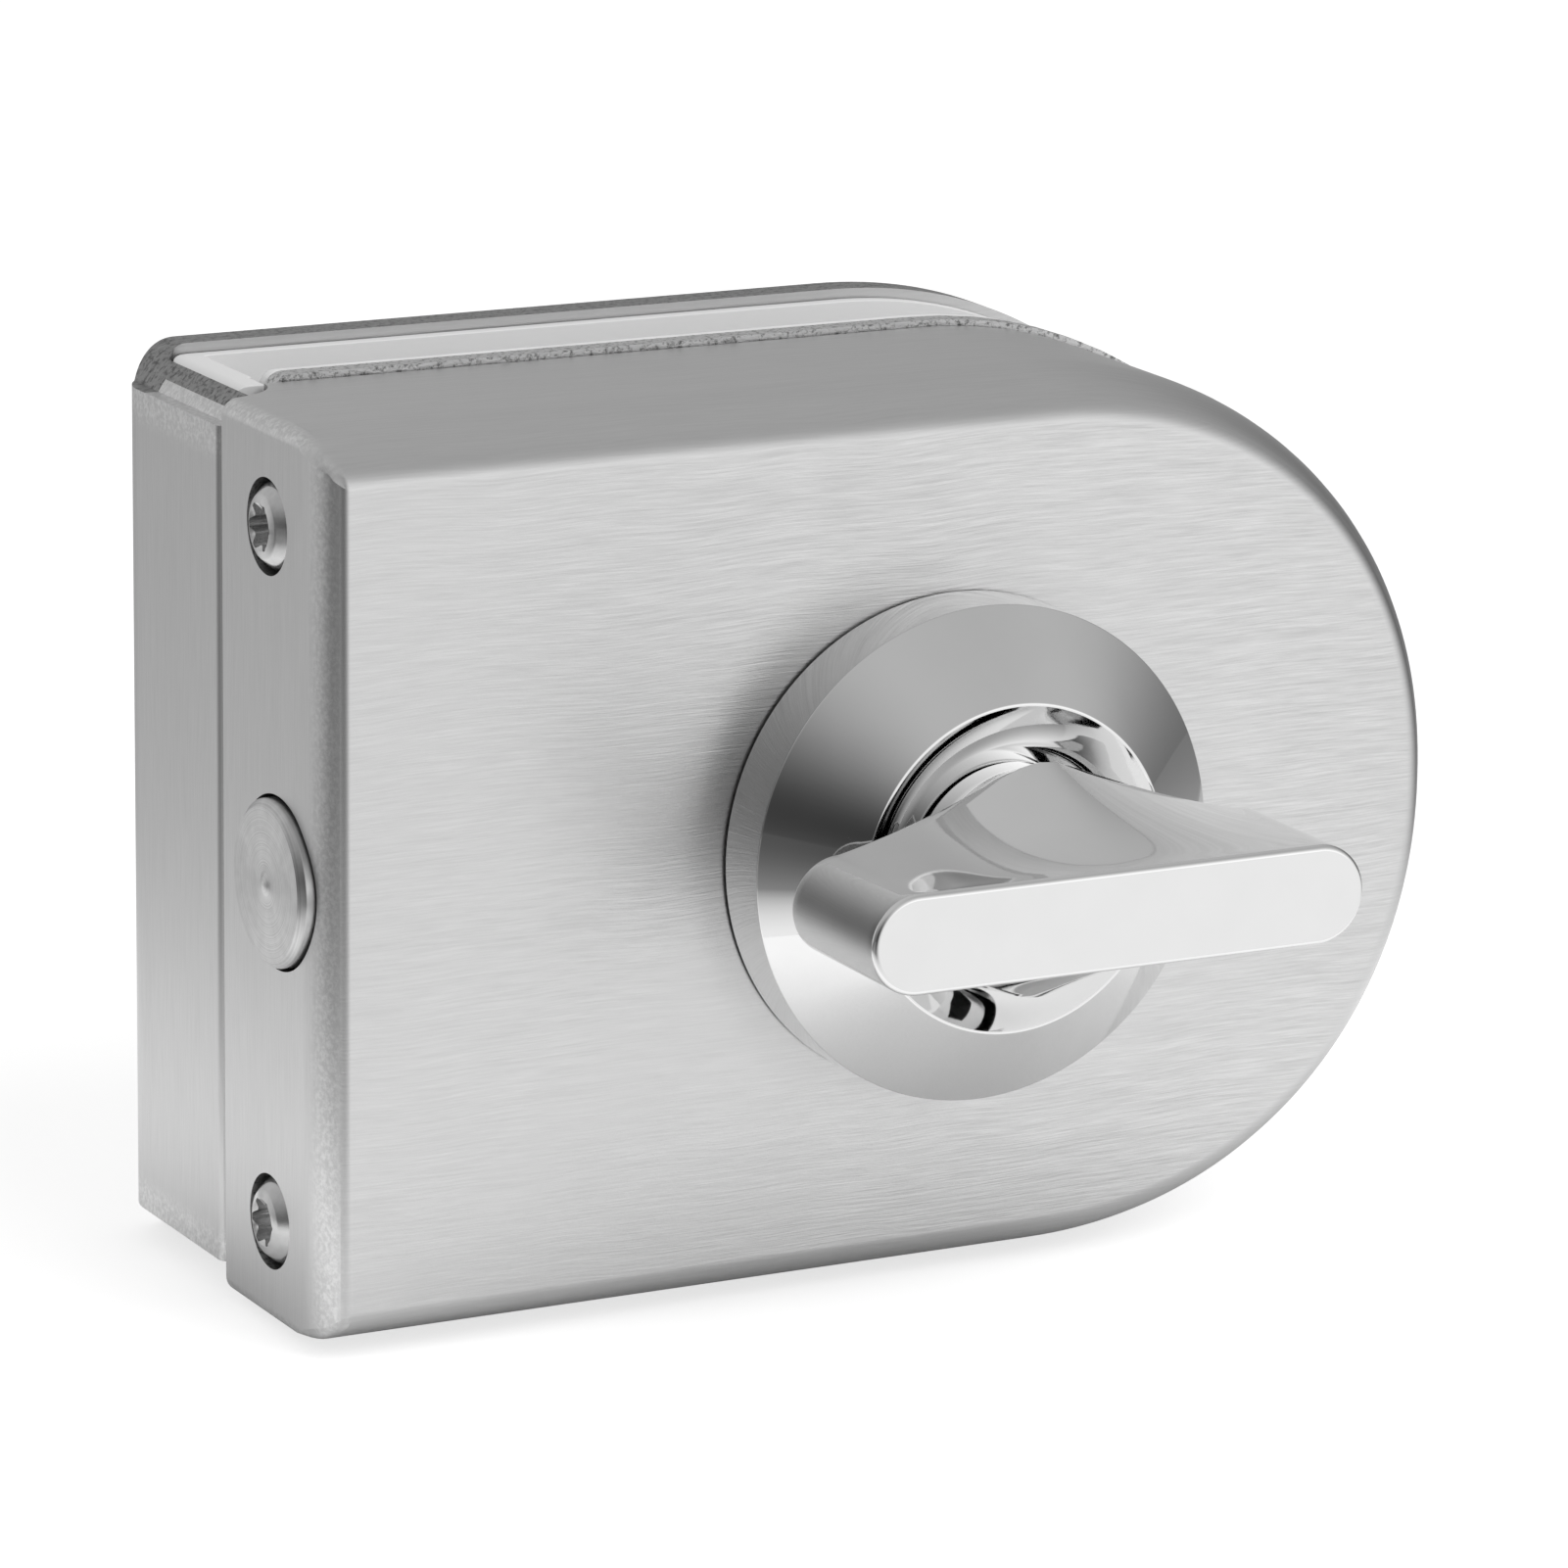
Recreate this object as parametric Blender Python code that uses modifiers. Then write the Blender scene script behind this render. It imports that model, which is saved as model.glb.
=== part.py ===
"""Single glass door knob lock, clamped on the free edge of a frameless glass leaf.

Metres, +Z up. The origin is where the thumbturn's axis meets the front face of the glass.
+X runs from the bolt to the round end, -Y to the thumbturn, +Y to the rear plate.
"""

import math

import bmesh
import bpy
from mathutils import Matrix, Vector

# Glass and the layers that clamp it
GLASS = 0.010              # glass thickness that the slot takes
SEAT = 0.0003              # gap left between two pieces that rest on each other
PAD_THICKNESS = 0.0012     # front and rear pads
BASE_THICKNESS = 0.0018    # base plate
PLATE_THICKNESS = 0.003    # rear plate, flange and lip
EDGE_PAD = 0.0028          # rear pad where it stands against the glass edge

# Outline of the lock seen from the knob side
HALF_HEIGHT = 0.0364
LENGTH = 0.1007            # bolt side to round end
END_MORE = 0.0007          # the round end reaches this much further than a half circle
END_FULLNESS = 2.1         # 2 makes the round end an ellipse, and more makes it fuller
AXIS_FROM_EDGE = 0.0543    # thumbturn axis from the bolt side

# Cover
COVER_DEPTH = 0.0242
COVER_WALL = 0.0015
SIDE_WALL = 0.0024         # wall that the bolt passes
SIDE_WALL_DEPTH = 0.0199   # this wall ends sooner, for the rear plate's flange
FRONT_ROUND = 0.0037       # height of the front edge's rounding, except at the bolt side
SIDE_ROUND = 0.002         # width of the rounding at the bolt side
ROUND_STRETCH = 2.4        # the roundings are this much deeper than they are wide
CORNER_ROUND = 0.0014      # rounding of the two edges that run back along the bolt side
INNER_SIDE_ROUND = 0.0003  # the same edges of the hollow
BACK_CORNER = 0.0055       # length of the notch where the flange passes

# Rear plate
PLATE_PROUD = 0.0006       # the plate stands out past the cover's outline
FLANGE_STEP = 0.0023       # the flange is this much shorter than the cover at each end
FLANGE_GAP = 0.0007        # joint seen between the cover and the flange
BEND_RADIUS = 0.0055       # outside of the bend between plate and flange
LIP_RADIUS = 0.0024        # outside of the bend between flange and lip
LIP_LENGTH = 0.014
LIP_CLEAR = 0.0018         # from the ends of the lip to the cover's posts
CLAMP_SCREW_X = 0.0095     # from the bolt side
CLAMP_SCREW_INSET = 0.0055 # from the ends of the lip

# Pads
PAD_INSET = 0.0002         # rear pad stands back from the cover's outline
BASE_PROUD = 0.0005        # base plate stands out past the cover's outline
FRONT_PAD_INSET = 0.0001   # front pad inside the base plate's outline

# Bolt
BOLT_DIAMETER = 0.0134
BOLT_DEPTH = 0.0095        # bolt axis behind the cover's front face
BOLT_LENGTH = 0.031
BOLT_PROUD = 0.001         # what the withdrawn bolt shows
BOLT_CHAMFER = 0.0005
TAIL_THICKNESS = 0.003
TAIL_TOP = 0.006
TAIL_WEB = 0.0034          # metal left beyond the crank slot
RUNNING = 0.0003           # running gap of turning and sliding pieces
CRANK_PLAY = 0.0005        # each side of the crank pin in its slot

# Crank, which turns a quarter turn and draws the bolt
CRANK_RADIUS = 0.0085      # axis to crank pin
CRANK_PIN = 0.0025         # radius of the crank pin
DISC_RADIUS = 0.012
DISC_THICKNESS = 0.004
HUB_RADIUS = 0.006
SHOULDER_RADIUS = 0.008
SPINDLE = 0.007            # across the flats of the square spindle
NOTCH_DEPTH = 0.0004
HUB_PROUD = 0.001          # hub before the cover's face
BUSH_WALL = 0.0012
BUSH_SHOULDER = 0.004      # flange of the bush beyond the hub
BUSH_THICKNESS = 0.0009    # flange of the bush
SPINDLE_START = 0.0007     # spindle behind the back of the bar

# Lock case
CASE_WALL = 0.002
CASE_BACK = 0.0018
LID_THICKNESS = 0.0006
CRADLE_LENGTH = 0.0094
CRADLE_WALL = 0.0024
CASE_SCREW = 0.0015        # radius of the M3 case screws
CASE_SCREW_X = (-0.028, 0.0095)
EAR_RADIUS = 0.004
EAR_THICKNESS = 0.0044

# Detent in the top wall of the case
BALL_RADIUS = 0.002
DETENT_BOSS = 0.004
DETENT_HEIGHT = 0.0232
DETENT_PLUG = 0.0023
SPRING_WIRE = 0.0005
SPRING_TURNS = 4

# Screws that hold the cover
COVER_SCREW_DEPTH = 0.0112
COVER_SCREW_INSET = 0.0084 # from the top and bottom of the cover
COVER_SCREW = 0.002        # radius of the M4 thread
COVER_SCREW_LENGTH = 0.0085
HEAD_RADIUS = 0.00355
HEAD_HEIGHT = 0.0019
COUNTERBORE = 0.0015
POST_HALF_HEIGHT = 0.0042
POST_LENGTH = 0.009

# Rosette and thumbturn
ROSETTE_RADIUS = 0.0202
ROSETTE_RIM = 0.0057
ROSETTE_INNER = 0.01335    # crisp edge between the cone and the dish
ROSETTE_HEIGHT = 0.0111
DISH_FLOOR = 0.0088
JOURNAL_RADIUS = 0.0065
ROSETTE_SCREW = 0.0015     # radius of the M3 countersunk screws
ROSETTE_SCREW_AT = 0.0145  # from the axis
BAR_LENGTH = 0.0433
BAR_HEIGHT = 0.008
BAR_FRONT = 0.028          # front of the bar before the cover
BAR_DEPTH = 0.0138
BAR_RISE = 0.0055          # how far the waist rises over the ends
BAR_EDGE = 0.0005
NECK_RADIUS = 0.009
GRUB_SCREW = 0.0015
GRUB_LENGTH = 0.0042
GRUB_SOCKET = 0.0018       # depth of its hexagon socket

ARC = 40                   # points of the half circle of the outline
AROUND = 36                # points round the turned pieces


def metal(name, colour, roughness, metallic=1.0):
    """Principled material."""
    made = bpy.data.materials.new(name)
    made.use_nodes = True
    shader = made.node_tree.nodes["Principled BSDF"]
    shader.inputs["Base Color"].default_value = (*colour, 1.0)
    shader.inputs["Roughness"].default_value = roughness
    shader.inputs["Metallic"].default_value = metallic
    return made


for old in list(bpy.data.objects):
    bpy.data.objects.remove(old, do_unlink=True)

lock = bpy.data.collections.new("glass_door_lock")
bpy.context.scene.collection.children.link(lock)
helpers = bpy.data.collections.new("cutters")
helpers.hide_render = True
bpy.context.scene.collection.children.link(helpers)


# Places that several pieces share, all from the sizes above
BOLT_SIDE = -AXIS_FROM_EDGE
ARC_X = BOLT_SIDE + LENGTH - HALF_HEIGHT - END_MORE
PLATE_HALF_HEIGHT = HALF_HEIGHT + PLATE_PROUD
BASE_BACK = -(PAD_THICKNESS + SEAT)
BASE_FRONT = BASE_BACK - BASE_THICKNESS
COVER_BACK = BASE_FRONT - SEAT
FACE = COVER_BACK - COVER_DEPTH
COVER_SCREW_Z = HALF_HEIGHT - COVER_SCREW_INSET
FLANGE_HALF_HEIGHT = HALF_HEIGHT - FLANGE_STEP
LIP_HALF_HEIGHT = COVER_SCREW_Z - POST_HALF_HEIGHT - LIP_CLEAR
CLAMP_SCREW_Z = LIP_HALF_HEIGHT - CLAMP_SCREW_INSET
PLATE_FRONT = GLASS + PAD_THICKNESS + SEAT
PLATE_BACK = PLATE_FRONT + PLATE_THICKNESS
COVER_INNER = FACE + COVER_WALL
FLANGE_FRONT = FACE + SIDE_WALL_DEPTH + FLANGE_GAP
FLANGE_INNER = BOLT_SIDE + PLATE_THICKNESS
EDGE_PAD_X = FLANGE_INNER + SEAT
GLASS_EDGE = EDGE_PAD_X + EDGE_PAD
BASE_LEFT = GLASS_EDGE + SEAT
LIP_BACK = FLANGE_FRONT + PLATE_THICKNESS
BOLT_Y = FACE + BOLT_DEPTH
BOLT_RADIUS = BOLT_DIAMETER / 2
BOLT_BORE = BOLT_RADIUS + RUNNING
BOLT_FACE = BOLT_SIDE - BOLT_PROUD
BOLT_END = BOLT_FACE + BOLT_LENGTH
PIN_X = CRANK_RADIUS * math.cos(math.radians(45))
THROW = 2 * PIN_X
LID_FRONT = COVER_INNER + SEAT
LID_BACK = LID_FRONT + LID_THICKNESS
CASE_FRONT = LID_BACK + SEAT
TAIL_BACK = BOLT_Y + BOLT_RADIUS - SEAT
TAIL_FRONT = TAIL_BACK - TAIL_THICKNESS
TAIL_BOTTOM = CRANK_RADIUS + CRANK_PIN + CRANK_PLAY + TAIL_WEB
TAIL_END = PIN_X + CRANK_PIN + CRANK_PLAY + TAIL_WEB
DISC_BACK = TAIL_FRONT - RUNNING
DISC_FRONT = DISC_BACK - DISC_THICKNESS
CASE_FLOOR = BOLT_Y + BOLT_RADIUS + RUNNING
CASE_OUT = CASE_FLOOR + CASE_BACK
CHAMBER_TOP = DISC_RADIUS + 2 * RUNNING
CHAMBER_BOTTOM = TAIL_BOTTOM + RUNNING
CHAMBER_RIGHT = max(TAIL_END, DISC_RADIUS) + 2 * RUNNING
CHAMBER_LEFT = BOLT_END - THROW - 2 * RUNNING
NOSE_LEFT = BOLT_SIDE + SIDE_WALL + SEAT
CRADLE_LEFT = NOSE_LEFT + CASE_WALL
CRADLE_RIGHT = CRADLE_LEFT + CRADLE_LENGTH
CRADLE_HALF = BOLT_BORE + CRADLE_WALL
CRADLE_BACK = BOLT_Y + BOLT_BORE + CRADLE_WALL - 0.0004
NOSE_HALF = CRADLE_HALF + SEAT + CASE_WALL
NOSE_BACK = FLANGE_FRONT - SEAT
EAR_TOP = CHAMBER_TOP + CASE_WALL + EAR_RADIUS + 0.0006
EAR_BOTTOM = -(CHAMBER_BOTTOM + CASE_WALL + EAR_RADIUS + 0.0006)
EAR_FRONT = CASE_OUT - EAR_THICKNESS
BORE_CASE_SCREW = CASE_SCREW + SEAT
COVER_SCREW_Y = FACE + COVER_SCREW_DEPTH
POST_LEFT = FLANGE_INNER + SEAT
POST_RIGHT = POST_LEFT + POST_LENGTH
SPINDLE_END = DISC_BACK - SEAT
BUSH_FLANGE = HUB_RADIUS + BUSH_SHOULDER
BUSH_RADIUS = HUB_RADIUS + RUNNING + BUSH_WALL
HUB_FRONT = FACE - HUB_PROUD
NECK_BACK = FACE - DISH_FLOOR - RUNNING
BAR_BACK = FACE - BAR_FRONT + BAR_DEPTH


def link(obj, where, material=None):
    where.objects.link(obj)
    if material:
        obj.data.materials.append(material)
    if where is helpers:
        obj.hide_render = True
        obj.display_type = "WIRE"
    return obj


def smooth(obj, angle=30):
    obj.data.shade_smooth()
    obj.data.set_sharp_from_angle(angle=math.radians(angle))
    return obj


def round_end(half_height, points=ARC):
    """Right end of the outline, bottom to top."""
    made = []
    for n in range(points + 1):
        a = -math.pi / 2 + math.pi * n / points
        along = max(math.cos(a), 0.0) ** (2 / END_FULLNESS)
        up = math.copysign(abs(math.sin(a)) ** (2 / END_FULLNESS), math.sin(a))
        made.append((ARC_X + (half_height + END_MORE) * along, half_height * up))
    return made


def d_outline(inset=0.0, left=BOLT_SIDE, corner=0.0):
    """Outline with a straight left side, a round right end and optional left corner roundings."""
    radius = HALF_HEIGHT - inset
    points = round_end(radius)
    if corner:
        points += round_corner((left + corner, radius - corner), corner, 90, 180)
        points += round_corner((left + corner, corner - radius), corner, 180, 270)
    else:
        points += [(left, radius), (left, -radius)]
    return points


def round_corner(centre, radius, start, end, points=5):
    """Points of an arc, angles in degrees."""
    made = []
    for n in range(points + 1):
        a = math.radians(start + (end - start) * n / points)
        made.append((centre[0] + radius * math.cos(a), centre[1] + radius * math.sin(a)))
    return made


def box_outline(x0, x1, z0, z1):
    return [(x0, z0), (x1, z0), (x1, z1), (x0, z1)]


def circle(radius, centre=(0.0, 0.0), points=24):
    step = 2 * math.pi / points
    turn = [step * n for n in range(points)]
    return [(centre[0] + radius * math.cos(a), centre[1] + radius * math.sin(a)) for a in turn]


def slot_outline(a, b, radius, points=10):
    """Outline of a slot or ear with round ends at a and b."""
    along = math.degrees(math.atan2(b[1] - a[1], b[0] - a[0]))
    first = round_corner(b, radius, along - 90, along + 90, points)
    return first + round_corner(a, radius, along + 90, along + 270, points)


TURNED = {
    "Y": Matrix.Rotation(math.radians(90), 4, "X"),
    "X": Matrix.Rotation(math.radians(90), 4, "Y") @ Matrix.Rotation(math.radians(90), 4, "Z"),
    "Z": Matrix.Identity(4),
}


def sheet(name, loops, start, end, across="Y", where=lock, material=None):
    """Flat outline with its holes, as a filled 2D curve, extruded from start to end.

    across Y takes points (x, z), across Z takes (x, y) and across X takes (y, z).
    """
    curve = bpy.data.curves.new(name + "_outline", "CURVE")
    curve.dimensions = "2D"
    curve.fill_mode = "BOTH"
    curve.extrude = abs(end - start) / 2
    for loop in loops:
        spline = curve.splines.new("POLY")
        spline.points.add(len(loop) - 1)
        for point, (u, v) in zip(spline.points, loop):
            point.co = (u, v, 0.0, 1.0)
        spline.use_cyclic_u = True
    guide = bpy.data.objects.new(name + "_guide", curve)
    bpy.context.scene.collection.objects.link(guide)
    bpy.context.view_layer.update()
    drawn = guide.evaluated_get(bpy.context.evaluated_depsgraph_get())
    mesh = bpy.data.meshes.new_from_object(drawn)
    bpy.data.objects.remove(guide, do_unlink=True)
    mesh.name = name
    axis = {"X": Vector((1, 0, 0)), "Y": Vector((0, 1, 0)), "Z": Vector((0, 0, 1))}[across]
    work = bmesh.new()
    work.from_mesh(mesh)
    bmesh.ops.remove_doubles(work, verts=work.verts, dist=1e-6)
    bmesh.ops.dissolve_limit(work, angle_limit=math.radians(0.5), verts=work.verts, edges=work.edges)
    place = Matrix.Translation(axis * (start + end) / 2) @ TURNED[across]
    bmesh.ops.transform(work, matrix=place, verts=work.verts)
    bmesh.ops.recalc_face_normals(work, faces=work.faces)
    work.to_mesh(mesh)
    work.free()
    mesh.materials.clear()
    return link(bpy.data.objects.new(name, mesh), where, material)


def block(name, low, high, where=lock, material=None):
    """Box between two corners."""
    mesh = bpy.data.meshes.new(name)
    work = bmesh.new()
    bmesh.ops.create_cube(work, size=1.0)
    size = [b - a for a, b in zip(low, high)]
    middle = [(a + b) / 2 for a, b in zip(low, high)]
    bmesh.ops.scale(work, vec=size, verts=work.verts)
    bmesh.ops.translate(work, vec=middle, verts=work.verts)
    work.to_mesh(mesh)
    work.free()
    return link(bpy.data.objects.new(name, mesh), where, material)


def rod(name, radius, start, end, where=helpers, material=None, end_radius=None, segments=24):
    """Cylinder or cone between two points."""
    a = Vector(start)
    b = Vector(end)
    mesh = bpy.data.meshes.new(name)
    work = bmesh.new()
    tip = radius if end_radius is None else end_radius
    bmesh.ops.create_cone(
        work, cap_ends=True, segments=segments, radius1=radius, radius2=tip, depth=(b - a).length
    )
    turn = (b - a).to_track_quat("Z", "Y").to_matrix().to_4x4()
    bmesh.ops.transform(work, matrix=Matrix.Translation((a + b) / 2) @ turn, verts=work.verts)
    work.to_mesh(mesh)
    work.free()
    return link(bpy.data.objects.new(name, mesh), where, material)


def turned(name, profile, along, at, where=lock, material=None, steps=AROUND):
    """Turned piece: (radius, height) pairs from the top of the outer side down, turned about an axis.

    The height runs along the given direction from the point at.
    """
    mesh = bpy.data.meshes.new(name)
    work = bmesh.new()
    points = [work.verts.new((r, 0.0, h)) for r, h in profile]
    for first, second in zip(points, points[1:]):
        work.edges.new((first, second))
    if profile[0][0] > 0 and profile[-1][0] > 0:
        work.edges.new((points[-1], points[0]))
    work.to_mesh(mesh)
    work.free()
    obj = link(bpy.data.objects.new(name, mesh), where, material)
    screw = obj.modifiers.new("turn", "SCREW")
    screw.axis = "Z"
    screw.steps = steps
    screw.render_steps = steps
    screw.use_merge_vertices = True
    screw.merge_threshold = 0.00001
    obj.matrix_world = Matrix.Translation(at) @ Vector(along).to_track_quat("Z", "Y").to_matrix().to_4x4()
    return obj


def joined(obj, other, operation="DIFFERENCE"):
    change = obj.modifiers.new(other.name, "BOOLEAN")
    change.operation = operation
    change.solver = "EXACT"
    change.object = other
    return obj


def cut(obj, *cutters):
    for cutter in cutters:
        joined(obj, cutter)
    return obj


def add(obj, *pieces):
    for piece in pieces:
        joined(obj, piece, "UNION")
    return obj


steel = metal("brushed stainless steel", (0.56, 0.56, 0.56), 0.34)
plated = metal("polished chrome plating", (0.62, 0.62, 0.62), 0.08)
turned_steel = metal("turned stainless steel", (0.50, 0.50, 0.49), 0.26)
screw_steel = metal("stainless screws", (0.52, 0.52, 0.51), 0.28)
zinc = metal("die-cast zinc", (0.36, 0.36, 0.36), 0.48)
pad_white = metal("white pad plastic", (0.72, 0.72, 0.70), 0.55, 0.0)
nylon = metal("natural nylon", (0.66, 0.64, 0.58), 0.5, 0.0)
spring_steel = metal("spring steel", (0.30, 0.30, 0.31), 0.32)


def cover_block(name, inset, where, material=None):
    """D-shaped block with the front edges rounded: the outside of the cover, or its hollow.

    The roundings are deeper than they are wide, so the block is rounded while it is short and
    then drawn out to its depth.
    """
    left = BOLT_SIDE + (SIDE_WALL if inset else 0.0)
    back = COVER_BACK + (0.002 if inset else 0.0)
    side = INNER_SIDE_ROUND if inset else SIDE_ROUND
    corner = INNER_SIDE_ROUND if inset else CORNER_ROUND
    depth = (back - FACE - inset) / ROUND_STRETCH
    made = sheet(name, [d_outline(inset, left)], 0.0, depth, "Y", where, material)
    mesh = made.data
    weight = mesh.attributes.new("bevel_weight_edge", "FLOAT", "EDGE")
    for edge in mesh.edges:
        a, b = (mesh.vertices[v].co for v in edge.vertices)
        front = max(a.y, b.y) < 1e-5
        at_left = max(a.x, b.x) < left + 1e-5
        if at_left and abs(a.z - b.z) < 1e-6:
            weight.data[edge.index].value = corner / FRONT_ROUND
        elif front and at_left:
            weight.data[edge.index].value = side / FRONT_ROUND
        elif front:
            weight.data[edge.index].value = (FRONT_ROUND - inset) / FRONT_ROUND
    bevel = made.modifiers.new("rounding", "BEVEL")
    bevel.limit_method = "WEIGHT"
    bevel.offset_type = "OFFSET"
    bevel.width = FRONT_ROUND
    bevel.segments = 5
    bevel.use_clamp_overlap = False
    bpy.context.view_layer.update()
    drawn = made.evaluated_get(bpy.context.evaluated_depsgraph_get())
    rounded = bpy.data.meshes.new_from_object(drawn)
    rounded.transform(Matrix.Translation((0, FACE + inset, 0)) @ Matrix.Diagonal((1, ROUND_STRETCH, 1, 1)))
    made.modifiers.clear()
    made.data = rounded
    return made


# Cover: a D-shaped cap, open at the back
cover = cover_block("cover", 0.0, lock, steel)
hollow = cover_block("cover_hollow", COVER_WALL, helpers)
cut(cover, hollow)
notch = sheet(
    "cover_back_notch",
    [
        [(BOLT_SIDE - 0.002, FACE + SIDE_WALL_DEPTH)]
        + [(BOLT_SIDE, FACE + SIDE_WALL_DEPTH)]
        + [
            (
                BOLT_SIDE + BACK_CORNER * math.sin(math.radians(a)),
                COVER_BACK - (COVER_DEPTH - SIDE_WALL_DEPTH) * math.cos(math.radians(a)),
            )
            for a in (15, 30, 45, 60, 75, 90)
        ]
        + [(BOLT_SIDE + BACK_CORNER, COVER_BACK + 0.001), (BOLT_SIDE - 0.002, COVER_BACK + 0.001)]
    ],
    -HALF_HEIGHT - 0.001,
    HALF_HEIGHT + 0.001,
    "Z",
    helpers,
)
cut(cover, notch)
start, end = (BOLT_SIDE - 0.002, BOLT_Y, 0), (NOSE_LEFT, BOLT_Y, 0)
cut(cover, rod("cover_bolt_hole", BOLT_BORE, start, end, segments=40))
for side, sign in (("upper", 1), ("lower", -1)):
    z = sign * COVER_SCREW_Z
    cut(
        cover,
        rod(
            "cover_counterbore_" + side,
            HEAD_RADIUS + SEAT,
            (BOLT_SIDE - 0.002, COVER_SCREW_Y, z),
            (BOLT_SIDE + COUNTERBORE, COVER_SCREW_Y, z),
        ),
        rod(
            "cover_screw_hole_" + side,
            COVER_SCREW + SEAT,
            (BOLT_SIDE, COVER_SCREW_Y, z),
            (NOSE_LEFT, COVER_SCREW_Y, z),
        ),
    )
cut(cover, rod("cover_spindle_hole", BUSH_RADIUS + SEAT, (0, FACE - 0.002, 0), (0, COVER_INNER + 0.002, 0)))
for sign in (-1, 1):
    hole = ROSETTE_SCREW + SEAT
    cut(
        cover,
        turned(
            f"cover_countersink_{sign}",
            [
                (0.0, 0.001),
                (hole, 0.001),
                (hole, -0.0001),
                (hole + COVER_WALL, -COVER_WALL - 0.0001),
                (0.0, -COVER_WALL - 0.0001),
            ],
            (0, -1, 0),
            (sign * ROSETTE_SCREW_AT, FACE, 0),
            where=helpers,
            steps=20,
        ),
    )
smooth(cover)


# Rear plate: plate, flange round the glass edge and lip that takes the clamp screws, one bent sheet
def bent(corner, radius, start, end):
    return round_corner(corner, radius, start, end, 8)


inner_bend = BEND_RADIUS - PLATE_THICKNESS
inner_lip = max(LIP_RADIUS - PLATE_THICKNESS, 0.0004)
past = BOLT_SIDE + LENGTH + 0.002
section = [(past, PLATE_BACK)]
section += bent((BOLT_SIDE + BEND_RADIUS, PLATE_BACK - BEND_RADIUS), BEND_RADIUS, 90, 180)
section += bent((BOLT_SIDE + LIP_RADIUS, FLANGE_FRONT + LIP_RADIUS), LIP_RADIUS, 180, 270)
section += [(BOLT_SIDE + LIP_LENGTH, FLANGE_FRONT), (BOLT_SIDE + LIP_LENGTH, LIP_BACK)]
section += bent((FLANGE_INNER + inner_lip, LIP_BACK + inner_lip), inner_lip, 270, 180)
section += bent((FLANGE_INNER + inner_bend, PLATE_FRONT - inner_bend), inner_bend, 180, 90)
section += [(past, PLATE_FRONT)]
rear_plate = sheet(
    "rear_plate", [section], -PLATE_HALF_HEIGHT - 0.001, PLATE_HALF_HEIGHT + 0.001, "Z", lock, steel
)
step_up = PLATE_HALF_HEIGHT - FLANGE_HALF_HEIGHT
shape = round_end(PLATE_HALF_HEIGHT)
shape += [(BOLT_SIDE + BEND_RADIUS, PLATE_HALF_HEIGHT)]
rise = []
for n in range(1, 9):
    t = n / 8
    x = BOLT_SIDE + BEND_RADIUS - (BEND_RADIUS - 0.0012) * t
    rise.append((x, PLATE_HALF_HEIGHT - step_up * t**2.2))
shape += rise
shape += [(BOLT_SIDE - 0.002, FLANGE_HALF_HEIGHT), (BOLT_SIDE - 0.002, -FLANGE_HALF_HEIGHT)]
shape += [(x, -z) for x, z in reversed(rise)]
shape += [(BOLT_SIDE + BEND_RADIUS, -PLATE_HALF_HEIGHT)]
plate_shape = sheet("rear_plate_shape", [shape], FLANGE_FRONT - 0.001, PLATE_BACK + 0.001, "Y", helpers)
joined(rear_plate, plate_shape, "INTERSECT")
for sign in (-1, 1):
    z = sorted((sign * LIP_HALF_HEIGHT, sign * (PLATE_HALF_HEIGHT + 0.001)))
    cut(
        rear_plate,
        block(
            f"lip_end_{sign}",
            (FLANGE_INNER, FLANGE_FRONT - 0.001, z[0]),
            (BOLT_SIDE + LIP_LENGTH + 0.001, LIP_BACK + 0.002, z[1]),
            helpers,
        ),
        rod(
            f"lip_hole_{sign}",
            COVER_SCREW + SEAT,
            (BOLT_SIDE + CLAMP_SCREW_X, FLANGE_FRONT - 0.001, sign * CLAMP_SCREW_Z),
            (BOLT_SIDE + CLAMP_SCREW_X, LIP_BACK + 0.001, sign * CLAMP_SCREW_Z),
        ),
    )
smooth(rear_plate)


# Rear pad: one moulding that lines the plate and turns forward along the glass edge
pad_round = inner_bend - SEAT
pad_left = EDGE_PAD_X
pad_back = GLASS + PAD_THICKNESS
pad_front = BASE_FRONT + SEAT
section = [(past, pad_back)]
section += bent((pad_left + pad_round, pad_back - pad_round), pad_round, 90, 180)
section += [(pad_left, pad_front), (GLASS_EDGE - SEAT, pad_front)]
section += [(GLASS_EDGE - SEAT, SEAT), (GLASS_EDGE, SEAT)]
section += bent((GLASS_EDGE + 0.0006, GLASS - 0.0006), 0.0006, 180, 90)
section += [(past, GLASS)]
rear_pad = sheet("rear_pad", [section], -HALF_HEIGHT, HALF_HEIGHT, "Z", lock, pad_white)
pad_outline = d_outline(PAD_INSET, pad_left - 0.001, 0.0022)
pad_shape = sheet("rear_pad_shape", [pad_outline], pad_front - 0.001, pad_back + 0.001, "Y", helpers)
joined(rear_pad, pad_shape, "INTERSECT")
smooth(rear_pad)

# Front pad: flat D between the base plate and the glass
front_pad = sheet(
    "front_pad",
    [d_outline(FRONT_PAD_INSET - BASE_PROUD, BASE_LEFT, 0.0015)],
    -PAD_THICKNESS,
    0.0,
    "Y",
    lock,
    pad_white,
)
smooth(front_pad)

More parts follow.
